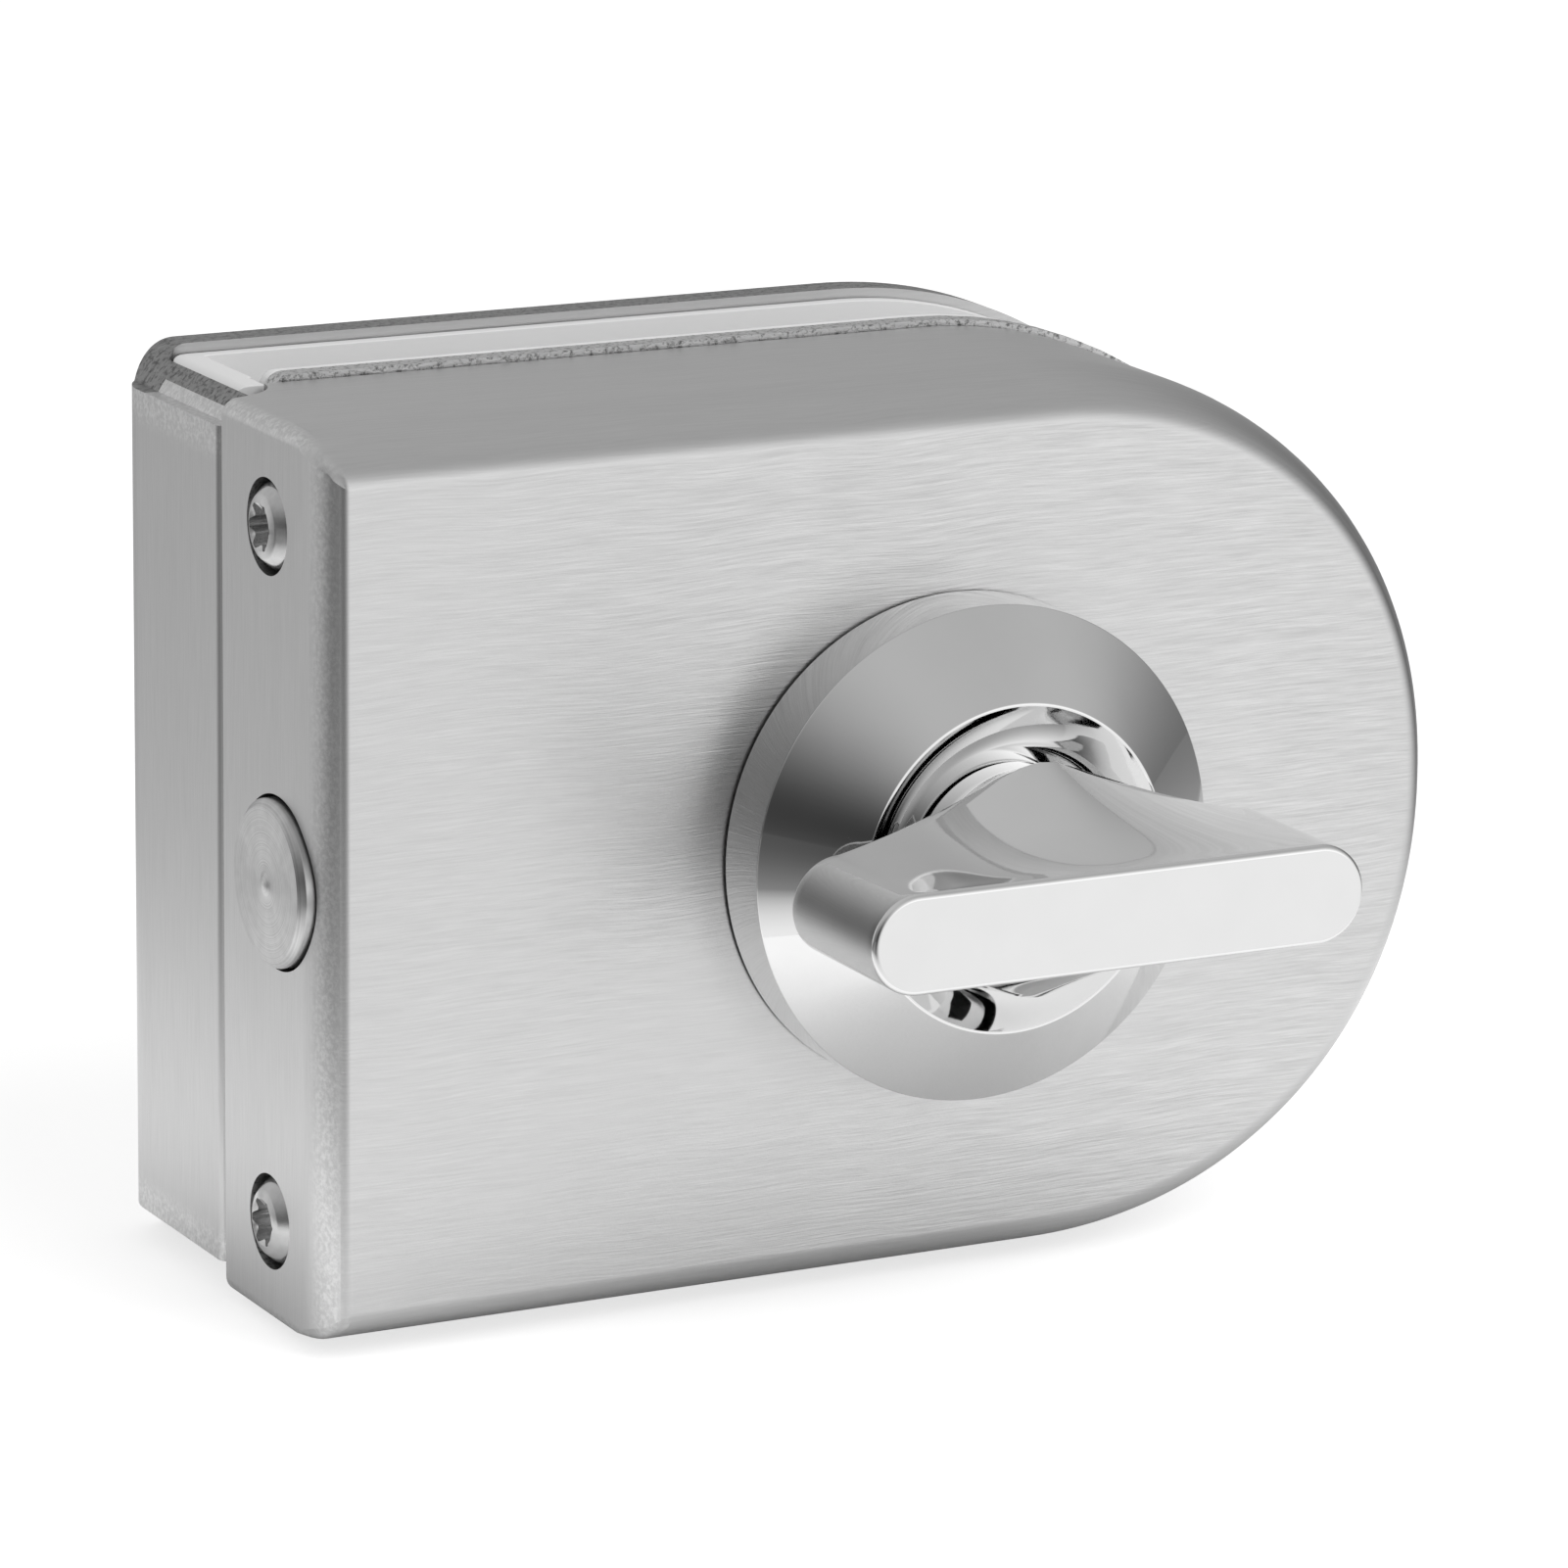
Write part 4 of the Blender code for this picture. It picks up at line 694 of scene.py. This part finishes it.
# The cut top and bottom of the flange take the ground steel at its outer side, up to where the bend
# starts: brighter than the cut edge, a painted highlight with wear
work = bmesh.new()
work.from_mesh(plate.data)
everything = work.verts[:] + work.edges[:] + work.faces[:]
bmesh.ops.bisect_plane(work, geom=everything, plane_co=(0, BEND_STARTS, 0), plane_no=(0, 1, 0))
for face in work.faces:
    middle = face.calc_center_median()
    if face.normal.z * middle.z > 0 and middle.x < HIGHLIGHT_AND_WEAR_TO and middle.y < BEND_STARTS:
        face.material_index = 0
work.to_mesh(plate.data)
work.free()

ground(plate)
soften(plate, PLATE_EDGE, 50)
finished(plate, "case", ["rear_plate"], 50)


# Pads: sheets of soft white plastic that keep the steel off the glass, cut a little inside the steel.
# The rear one turns forward and fills the space between the glass edge and the flange.
PAD_INSET = 0.0002
BASE_PROUD = 0.0005
FRONT_PAD_INSET = 0.0001
PAD_THICKNESS = 0.0012
GLASS = 0.010
SEAT = 0.0003
EDGE_PAD_X = FLANGE_INNER + SEAT
GLASS_EDGE = EDGE_PAD_X + 0.0028
BASE_LEFT = GLASS_EDGE + SEAT
BASE_FRONT = -0.0033
PAD_SOFTNESS = 0.0003
PAD_INNER_ROUND = 0.0006
FRONT_PAD_CORNER = 0.0015
REAR_PAD_CORNER = 0.0022

# Pad plastic: matt white polyethylene, so it shades softly and picks up a little grey dirt
pad_plastic, tree, output = blank("soft white polyethylene")
place = node(tree, "TexCoord").outputs["Object"]
dirt = node(tree, "TexNoise", {"Vector": place, "Scale": 1 / 0.006, "Detail": 4.0})
grain = node(tree, "TexNoise", {"Vector": place, "Scale": 1 / 0.0003, "Detail": 2.0})
tone = node(tree, "MapRange", {"Value": dirt.outputs[0], "From Min": 0.40, "From Max": 0.70})
tone = node(
    tree, "Mix", {"Factor": tone.outputs[0], "A": colour("#F6F6F6"), "B": colour("#EAEAEA")},
    data_type="RGBA",
)
relief = node(tree, "Bump", {"Height": grain.outputs[0], "Strength": 0.25, "Distance": 0.00005})
shader = node(
    tree, "BsdfPrincipled",
    {"Base Color": tone.outputs["Result"], "Roughness": 0.55, "Normal": relief.outputs[0], "IOR": 1.5},
)
tree.links.new(shader.outputs[0], output.inputs["Surface"])

work = bmesh.new()
outline = d_outline(FRONT_PAD_INSET - BASE_PROUD, BASE_LEFT, FRONT_PAD_CORNER)
filled(work, [(x, -PAD_THICKNESS, z) for x, z in outline], (0, PAD_THICKNESS, 0))
front_pad = placed("white_front_pad", work)
front_pad.data.materials.append(pad_plastic)
soften(front_pad, PAD_SOFTNESS, 40)
finished(front_pad, "case", ["front_pad"], 60)

pad_back = GLASS + PAD_THICKNESS
pad_front = BASE_FRONT + SEAT
pad_round = inner - SEAT
section = [(PAST, pad_back)]
section += arc((EDGE_PAD_X + pad_round, pad_back - pad_round), pad_round, 90, 180, 12)
section += [(EDGE_PAD_X, pad_front), (GLASS_EDGE - SEAT, pad_front)]
section += [(GLASS_EDGE - SEAT, SEAT), (GLASS_EDGE, SEAT)]
section += arc((GLASS_EDGE + PAD_INNER_ROUND, GLASS - PAD_INNER_ROUND), PAD_INNER_ROUND, 180, 90, 5)
section += [(PAST, GLASS)]
work = bmesh.new()
filled(work, [(x, y, -BLANK_HALF) for x, y in section], (0, 0, 2 * BLANK_HALF))
rear_pad = placed("white_rear_pad", work)
work = bmesh.new()
outline = d_outline(PAD_INSET, EDGE_PAD_X - 0.001, REAR_PAD_CORNER)
filled(work, [(x, pad_front - 0.001, z) for x, z in outline], (0, pad_back - pad_front + 0.002, 0))
settle(rear_pad, kept=placed("rear_pad_outline", work))
rear_pad.data.materials.append(pad_plastic)
soften(rear_pad, PAD_SOFTNESS, 40)
finished(rear_pad, "case", ["rear_pad"], 60)


# Base plate and lock case: zinc castings behind the cover, which keep their CAD shape. Only the rim
# of the base plate shows. Cast and tumbled, it is dull grey with dark pits of about half a millimetre.
zinc, tree, output = blank("die-cast zinc")
place = node(tree, "TexCoord").outputs["Object"]
cast = node(tree, "TexNoise", {"Vector": place, "Scale": 1 / 0.00045, "Detail": 4.0, "Roughness": 0.7})
spots = node(tree, "MapRange", {"Value": cast.outputs[0], "From Min": 0.34, "From Max": 0.50})
tone = node(
    tree, "Mix", {"Factor": spots.outputs[0], "A": colour("#7C7C7C"), "B": colour("#DADADA")},
    data_type="RGBA",
)
relief = node(tree, "Bump", {"Height": cast.outputs[0], "Strength": 0.7, "Distance": 0.00012})
shader = node(
    tree, "BsdfPrincipled",
    {
        "Base Color": tone.outputs["Result"], "Metallic": 1.0, "Roughness": 0.45,
        "Normal": relief.outputs[0],
    },
)
tree.links.new(shader.outputs[0], output.inputs["Surface"])


def refinished(material, *names):
    """Gives CAD nodes that keep their shape a finish."""
    for name in names:
        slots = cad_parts[name].data.materials
        slots.clear()
        slots.append(material)


refinished(zinc, "base_plate", "lock_case", "crank")


# Cover screws: stainless button heads with a six-lobe socket, sunk in the cover's bolt side.
HEAD_RADIUS = 0.00355
HEAD_HEIGHT = 0.0019
SCREW_CRISP = 0.00012
SHANK = 0.002
SHANK_LENGTH = 0.0085
SOCKET = 0.00199
SOCKET_DEPTH = 0.0013
HEAD_AT = BOLT_SIDE + 0.0012

# Screw steel: cold-formed stainless, smooth and bright with faint turning marks
screw_steel, tree, output = blank("cold-formed stainless steel")
place = node(tree, "TexCoord").outputs["Object"]
marks = node(tree, "TexNoise", {"Vector": place, "Scale": 1 / 0.0006, "Detail": 3.0})
rough = node(tree, "MapRange", {"Value": marks.outputs[0], "To Min": 0.16, "To Max": 0.30})
tone = node(
    tree, "Mix", {"Factor": marks.outputs[0], "A": colour("#C4C4C4"), "B": colour("#DADADA")},
    data_type="RGBA",
)
relief = node(tree, "Bump", {"Height": marks.outputs[0], "Strength": 0.15, "Distance": 0.00004})
shader = node(
    tree, "BsdfPrincipled",
    {
        "Base Color": tone.outputs["Result"], "Metallic": 1.0, "Roughness": rough.outputs[0],
        "Normal": relief.outputs[0],
    },
)
tree.links.new(shader.outputs[0], output.inputs["Surface"])


def turned(name, profile, steps=128):
    """Solid of revolution about the X axis: (radius, place) pairs from end to end."""
    work = bmesh.new()
    points = [work.verts.new((x, 0.0, r)) for r, x in profile]
    edges = [work.edges.new(pair) for pair in zip(points, points[1:])]
    bmesh.ops.spin(
        work, geom=points + edges, cent=(0, 0, 0), axis=(1, 0, 0),
        angle=math.tau, steps=steps, use_merge=True,
    )
    bmesh.ops.remove_doubles(work, verts=work.verts, dist=1e-6)
    bmesh.ops.recalc_face_normals(work, faces=work.faces)
    return placed(name, work)


def stepped(corners, crisp):
    """Profile with a small round at each inner corner, as three points."""
    made = [corners[0]]
    for before, at, after in zip(corners, corners[1:], corners[2:]):
        at = Vector(at)
        back, on = Vector(before) - at, Vector(after) - at
        reach = min(crisp, 0.45 * back.length, 0.45 * on.length)
        a, b = at + back.normalized() * reach, at + on.normalized() * reach
        made += [tuple(a), tuple((a + 2 * at + b) / 4), tuple(b)]
    return made + [corners[-1]]


top = -HEAD_HEIGHT
corners = [
    (0.0, top), (0.52 * HEAD_RADIUS, top), (0.72 * HEAD_RADIUS, 0.86 * top),
    (0.90 * HEAD_RADIUS, 0.50 * top), (HEAD_RADIUS, 0.22 * top), (HEAD_RADIUS, 0.0),
    (SHANK, 0.0), (SHANK, SHANK_LENGTH), (0.0, SHANK_LENGTH),
]
for side, sign in (("upper", 1), ("lower", -1)):
    screw = turned("button_screw_" + side, stepped(corners, SCREW_CRISP), 96)
    work = bmesh.new()
    lobes = []
    for n in range(96):
        a = math.tau * n / 96
        r = SOCKET * (0.86 + 0.14 * math.cos(6 * a))
        lobes.append((top - 0.001, r * math.cos(a), r * math.sin(a)))
    filled(work, lobes, (0.001 + SOCKET_DEPTH, 0, 0))
    lead = [(top - 0.0002, 0, 0), (top + 0.00025, 0, 0)]
    sunk = cylinder("socket_lead", 1.14 * SOCKET, *lead, 64, 0.75 * SOCKET)
    settle(screw, [placed("six_lobe_socket", work), sunk])
    screw.data.transform(Matrix.Translation((HEAD_AT, SCREW_Y, sign * SCREW_Z)))
    screw.data.materials.clear()
    screw.data.materials.append(screw_steel)
    finished(screw, "case", ["cover_screw_" + side], 35)
refinished(screw_steel, "clamp_screw_upper", "clamp_screw_lower", "grub_screw", "detent_plug", "spindle")
refinished(screw_steel, "case_screw_1", "case_screw_2", "case_screw_3", "case_screw_4")
refinished(screw_steel, "rosette_screw_left", "rosette_screw_right")


# Bolt: a stainless bar turned on a lathe, its end faced off and chamfered, with the parting pip left
# in the middle. A flat tail behind it takes the crank's pin.
BOLT_RADIUS = 0.0067
BOLT_FACE = BOLT_SIDE - 0.001
BOLT_LENGTH = 0.031
BOLT_END = BOLT_FACE + BOLT_LENGTH
BOLT_CHAMFER = 0.0005
BOLT_CRISP = 0.0001
PIP_RADIUS = 0.0011
TAIL_BACK = BOLT_Y + BOLT_RADIUS - SEAT
TAIL_FRONT = TAIL_BACK - 0.003
TAIL_TOP = 0.006
TAIL_BOTTOM = 0.0149
PIN_X = 0.0085 * math.cos(math.radians(45))
TAIL_END = PIN_X + 0.0064
SLOT_HALF = 0.003
SLOT_BOTTOM = -0.0088
TAIL_CORNER = 0.002
TAIL_SLOPE = 0.004

# Turned steel: fine rings round the bolt's axis fan the light out from its middle
lathe_steel, tree, output = blank("lathe-turned stainless steel")
place = node(tree, "TexCoord").outputs["Object"]
from_axis = node(tree, "VectorMath", {0: place, 1: (0, BOLT_Y, 0)}, operation="SUBTRACT")
in_plane = node(tree, "VectorMath", {0: from_axis.outputs[0], 1: (0, 1, 1)}, operation="MULTIPLY")
out = node(tree, "VectorMath", {0: in_plane.outputs[0]}, operation="LENGTH")
ring_at = node(tree, "Math", {0: out.outputs["Value"], 1: 1 / 0.00012}, operation="MULTIPLY")
rings = node(
    tree, "TexNoise", {"W": ring_at.outputs[0], "Scale": 1.0, "Detail": 2.0},
    noise_dimensions="1D",
)
stain = node(tree, "TexNoise", {"Vector": place, "Scale": 1 / 0.0012, "Detail": 3.0})
tone = node(tree, "Mix", {"Factor": 0.4, "A": rings.outputs[0], "B": stain.outputs[0]}, data_type="FLOAT")
tone = node(tree, "MapRange", {"Value": tone.outputs[0], "From Min": 0.35, "From Max": 0.65})
tone = node(
    tree, "Mix", {"Factor": tone.outputs[0], "A": colour("#BEBEBE"), "B": colour("#D6D6D6")},
    data_type="RGBA",
)
relief = node(tree, "Bump", {"Height": rings.outputs[0], "Strength": 0.2, "Distance": 0.00003})
tangent = node(tree, "Tangent", direction_type="UV_MAP", uv_map="rings")
shader = node(
    tree, "BsdfPrincipled",
    {
        "Base Color": tone.outputs["Result"], "Metallic": 1.0, "Roughness": 0.30, "Anisotropic": 0.7,
        "Anisotropic Rotation": 0.25, "Normal": relief.outputs[0], "Tangent": tangent.outputs[0],
    },
)
tree.links.new(shader.outputs[0], output.inputs["Surface"])

faced = BOLT_RADIUS - BOLT_CHAMFER
profile = [(0.0, -0.00025), (0.0005, -0.00022), (0.0008, -0.00008), (PIP_RADIUS, 0.0)]
profile += [(PIP_RADIUS + (faced - PIP_RADIUS) * n / 6, 0.0) for n in range(1, 6)]
profile += [(faced - BOLT_CRISP, 0.0)]
side = [(faced, 0.0), (BOLT_RADIUS, BOLT_CHAMFER), (BOLT_RADIUS, BOLT_LENGTH)]
profile += stepped(side, BOLT_CRISP)[1:] + [(0.0, BOLT_LENGTH)]
bolt = turned("turned_bolt", [(r, BOLT_FACE + x) for r, x in profile], 160)
bolt.data.transform(Matrix.Translation((0, BOLT_Y, 0)))
work = bmesh.new()
start = BOLT_END - 0.0002
tail_points = [
    (start, -TAIL_BOTTOM + TAIL_SLOPE), (start + TAIL_SLOPE, -TAIL_BOTTOM),
    (TAIL_END - TAIL_CORNER, -TAIL_BOTTOM), (TAIL_END, -TAIL_BOTTOM + TAIL_CORNER),
    (TAIL_END, TAIL_TOP - TAIL_CORNER), (TAIL_END - TAIL_CORNER, TAIL_TOP), (start, TAIL_TOP),
]
filled(work, [(x, TAIL_FRONT, z) for x, z in tail_points], (0, TAIL_BACK - TAIL_FRONT, 0))
tail = placed("bolt_tail", work)
work = bmesh.new()
slot = arc((PIN_X, -PIN_X + SEAT), SLOT_HALF, 0, 180, 16)
slot += arc((PIN_X, SLOT_BOTTOM), SLOT_HALF, 180, 360, 16)
filled(work, [(x, TAIL_FRONT - 0.001, z) for x, z in slot], (0, 0.005, 0))
settle(tail, [placed("tail_slot", work)])
settle(bolt, added=tail)

# Map of the rings: first round the axis, and then outwards and along
work = bmesh.new()
work.from_mesh(bolt.data)
rings = work.loops.layers.uv.new("rings")
for face in work.faces:
    middle = face.calc_center_median()
    at = math.atan2(middle.z, middle.y - BOLT_Y)
    for loop in face.loops:
        x, y, z = loop.vert.co
        out = math.hypot(y - BOLT_Y, z)
        here = math.atan2(z, y - BOLT_Y) if out > 1e-6 else at
        here += math.tau * round((at - here) / math.tau)
        loop[rings].uv = (here * BOLT_RADIUS, out + x)
work.to_mesh(bolt.data)
work.free()

bolt.data.materials.clear()
bolt.data.materials.append(lathe_steel)
finished(bolt, "bolt", ["bolt"], 25)


# Rosette: a die-cast ring, plated and polished, with an upright rim, a conical face and a dished
# middle. Two screws from behind hold it on the cover.
ROSETTE_RADIUS = 0.0202
ROSETTE_RIM = 0.0057
ROSETTE_INNER = 0.01335
ROSETTE_HEIGHT = 0.0111
DISH_FLOOR = 0.0088
NECK_RADIUS = 0.009
JOURNAL_RADIUS = 0.0065
RUNNING = 0.0003
BUSH_FLANGE = 0.010
BUSH_THICKNESS = 0.0009
PLATED_CRISP = 0.00012
ROSETTE_BORE = 0.0018
ROSETTE_BORE_X = 0.0145
ROSETTE_BORE_DEPTH = 0.0052

# Chrome plating: a mirror, softened by polishing haze and the slight waves of the casting under it
chrome, tree, output = blank("polished chrome plating")
place = node(tree, "TexCoord").outputs["Object"]
haze = node(tree, "TexNoise", {"Vector": place, "Scale": 1 / 0.004, "Detail": 3.0})
rough = node(
    tree, "MapRange",
    {"Value": haze.outputs[0], "From Min": 0.3, "From Max": 0.7, "To Min": 0.03, "To Max": 0.06},
)
tone = node(
    tree, "Mix", {"Factor": haze.outputs[0], "A": colour("#E6E6E6"), "B": colour("#EBEBEB")},
    data_type="RGBA",
)
waves = node(tree, "TexNoise", {"Vector": place, "Scale": 1 / 0.009, "Detail": 1.0})
relief = node(tree, "Bump", {"Height": waves.outputs[0], "Strength": 0.05, "Distance": 0.0003})
shader = node(
    tree, "BsdfPrincipled",
    {
        "Base Color": tone.outputs["Result"], "Metallic": 1.0, "Roughness": rough.outputs[0],
        "Normal": relief.outputs[0],
    },
)
tree.links.new(shader.outputs[0], output.inputs["Surface"])

corners = [
    (BUSH_FLANGE + SEAT, SEAT), (ROSETTE_RADIUS, SEAT), (ROSETTE_RADIUS, ROSETTE_RIM),
    (ROSETTE_INNER, ROSETTE_HEIGHT),
]
dish = []
dish_inner = NECK_RADIUS + 0.0004
dish_outer = ROSETTE_INNER - 0.0002
for n in range(12, -1, -1):
    t = n / 12
    deep = DISH_FLOOR + (ROSETTE_HEIGHT - DISH_FLOOR) * t**1.8
    dish.append((dish_inner + (dish_outer - dish_inner) * t, deep))
bore = JOURNAL_RADIUS + RUNNING
bush_face = 2 * SEAT + BUSH_THICKNESS
profile = stepped(corners + dish[:1], PLATED_CRISP)[:-1] + dish
profile += [(bore, DISH_FLOOR), (bore, bush_face), (BUSH_FLANGE + SEAT, bush_face)]
profile += [profile[0]]
rosette = turned("chrome_rosette", [(r, -h) for r, h in profile], 192)
rosette.data.transform(Matrix.Translation((0, FACE, 0)) @ Matrix.Rotation(math.radians(90), 4, "Z"))
bores = []
for sign in (-1, 1):
    x = sign * ROSETTE_BORE_X
    ends = [(x, FACE + 0.001, 0), (x, FACE - ROSETTE_BORE_DEPTH, 0)]
    bores.append(cylinder(f"rosette_bore_{sign}", ROSETTE_BORE, *ends, 40))
settle(rosette, bores)
rosette.data.materials.clear()
rosette.data.materials.append(chrome)
finished(rosette, "case", ["rosette"], 20)


# Thumbturn: a die-cast bar with round ends, plated and polished. It swells to a waist at the back,
# on a round neck, and a grub screw from below holds it on the spindle.
BAR_LENGTH = 0.0433
BAR_HEIGHT = 0.008
BAR_FRONT = 0.028
BAR_DEPTH = 0.0138
BAR_RISE = 0.0055
BAR_EDGE = 0.0005
BAR_WAIST_SOFTNESS = 0.0022
SPINDLE = 0.007
GRUB_HOLE = 0.0018
BAR_BACK = FACE - BAR_FRONT + BAR_DEPTH


def bar_section(y, inset, swell):
    """Outline of the bar at one depth, from the right end over the top to the left and back."""
    radius = BAR_HEIGHT / 2 - inset
    straight = BAR_LENGTH / 2 - BAR_HEIGHT / 2
    soft = BAR_WAIST_SOFTNESS
    top = []
    for n in range(49):
        x = straight * (1 - 2 * n / 48)
        ridge = 1 - (math.hypot(x, soft) - soft) / (math.hypot(straight, soft) - soft)
        top.append((x, y, radius + BAR_RISE * swell * (0.62 * ridge + 0.38 * ridge * ridge)))
    left = [(x, y, z) for x, z in arc((-straight, 0), radius, 90, 270, 32)[1:-1]]
    return top + left + [(-x, y, -z) for x, y, z in top + left]


# Stations of the loft from front to back, each its depth, its inset and its share of the swell
stations = []
for n in range(5):
    a = math.radians(22.5 * n)
    stations.append((BAR_EDGE * (1 - math.cos(a)), BAR_EDGE * (1 - math.sin(a)), 0.0))
for n in range(1, 19):
    t = n / 18
    stations.append((BAR_EDGE + (BAR_DEPTH - 2 * BAR_EDGE) * t, 0.0, t**1.25))
for n in range(1, 5):
    a = math.radians(22.5 * n)
    stations.append((BAR_DEPTH - BAR_EDGE * (1 - math.sin(a)), BAR_EDGE * (1 - math.cos(a)), 1.0))
work = bmesh.new()
loops = []
for depth, inset, swell in stations:
    points = [work.verts.new(p) for p in bar_section(FACE - BAR_FRONT + depth, inset, swell)]
    loops.append([work.edges.new(pair) for pair in zip(points, points[1:] + points[:1])])
for first, second in zip(loops, loops[1:]):
    bmesh.ops.bridge_loops(work, edges=first + second)
for loop in (loops[0], loops[-1]):
    bmesh.ops.contextual_create(work, geom=loop)
bmesh.ops.recalc_face_normals(work, faces=work.faces)
thumbturn = placed("chrome_thumbturn", work)
bar_height = BAR_FRONT - BAR_DEPTH
neck_corners = [
    (0.0, bar_height + 0.002), (NECK_RADIUS - 0.001, bar_height + 0.002),
    (NECK_RADIUS, bar_height - 0.0004), (NECK_RADIUS - 0.0006, bar_height - 0.0024),
    (NECK_RADIUS - 0.0007, DISH_FLOOR + RUNNING), (JOURNAL_RADIUS, DISH_FLOOR + RUNNING),
    (JOURNAL_RADIUS, bush_face), (0.0, bush_face),
]
neck = turned("thumbturn_neck", [(r, -h) for r, h in stepped(neck_corners, 0.0003)], 128)
neck.data.transform(Matrix.Translation((0, FACE, 0)) @ Matrix.Rotation(math.radians(90), 4, "Z"))
half = SPINDLE / 2 + SEAT
work = bmesh.new()
square = [(-half, -half), (half, -half), (half, half), (-half, half)]
filled(work, [(x, BAR_BACK + 0.0004, z) for x, z in square], (0, FACE + 0.001 - BAR_BACK - 0.0004, 0))
grub_y = (BAR_BACK + FACE - DISH_FLOOR - RUNNING) / 2
grub_ends = [(0, grub_y, -half + SEAT), (0, grub_y, -NECK_RADIUS - 0.003)]
cutters = [placed("square_hole", work), cylinder("grub_hole", GRUB_HOLE, *grub_ends, 40)]
settle(thumbturn, cutters, added=neck)
thumbturn.data.materials.clear()
thumbturn.data.materials.append(chrome)
finished(thumbturn, "knob", ["thumbturn"], 35)


# Inner pieces: the case's sheet lid, the nylon cradle and bush, and the detent's ball and spring.
# They lie behind the cover and keep their CAD shape.

# Cold-rolled steel: even grey, with cloudy patches that shine a little differently
lid_steel, tree, output = blank("cold-rolled steel sheet")
place = node(tree, "TexCoord").outputs["Object"]
mill = node(tree, "TexNoise", {"Vector": place, "Scale": 1 / 0.002, "Detail": 4.0})
tone = node(
    tree, "Mix", {"Factor": mill.outputs[0], "A": colour("#B4B4B4"), "B": colour("#CFCFCF")},
    data_type="RGBA",
)
rough = node(tree, "MapRange", {"Value": mill.outputs[0], "To Min": 0.28, "To Max": 0.44})
shader = node(
    tree, "BsdfPrincipled",
    {"Base Color": tone.outputs["Result"], "Metallic": 1.0, "Roughness": rough.outputs[0]},
)
tree.links.new(shader.outputs[0], output.inputs["Surface"])
refinished(lid_steel, "case_lid")

# Nylon: warm off-white and a little waxy, with faint flow marks from the mould
nylon, tree, output = blank("natural nylon")
place = node(tree, "TexCoord").outputs["Object"]
flow = node(tree, "TexNoise", {"Vector": place, "Scale": 1 / 0.003, "Detail": 2.0})
tone = node(
    tree, "Mix", {"Factor": flow.outputs[0], "A": colour("#D6D2C6"), "B": colour("#E3DFD3")},
    data_type="RGBA",
)
relief = node(tree, "Bump", {"Height": flow.outputs[0], "Strength": 0.1, "Distance": 0.0001})
shader = node(
    tree, "BsdfPrincipled",
    {"Base Color": tone.outputs["Result"], "Roughness": 0.48, "IOR": 1.53, "Normal": relief.outputs[0]},
)
tree.links.new(shader.outputs[0], output.inputs["Surface"])
refinished(nylon, "bolt_cradle", "spindle_bush")

# Spring steel: dark and shiny, with a thin uneven film of oil
spring_steel, tree, output = blank("oiled spring steel")
place = node(tree, "TexCoord").outputs["Object"]
oil = node(tree, "TexNoise", {"Vector": place, "Scale": 1 / 0.001, "Detail": 2.0})
tone = node(
    tree, "Mix", {"Factor": oil.outputs[0], "A": colour("#8A8A8C"), "B": colour("#A6A6A8")},
    data_type="RGBA",
)
rough = node(tree, "MapRange", {"Value": oil.outputs[0], "To Min": 0.22, "To Max": 0.38})
shader = node(
    tree, "BsdfPrincipled",
    {"Base Color": tone.outputs["Result"], "Metallic": 1.0, "Roughness": rough.outputs[0]},
)
tree.links.new(shader.outputs[0], output.inputs["Surface"])
refinished(spring_steel, "detent_ball", "detent_spring")
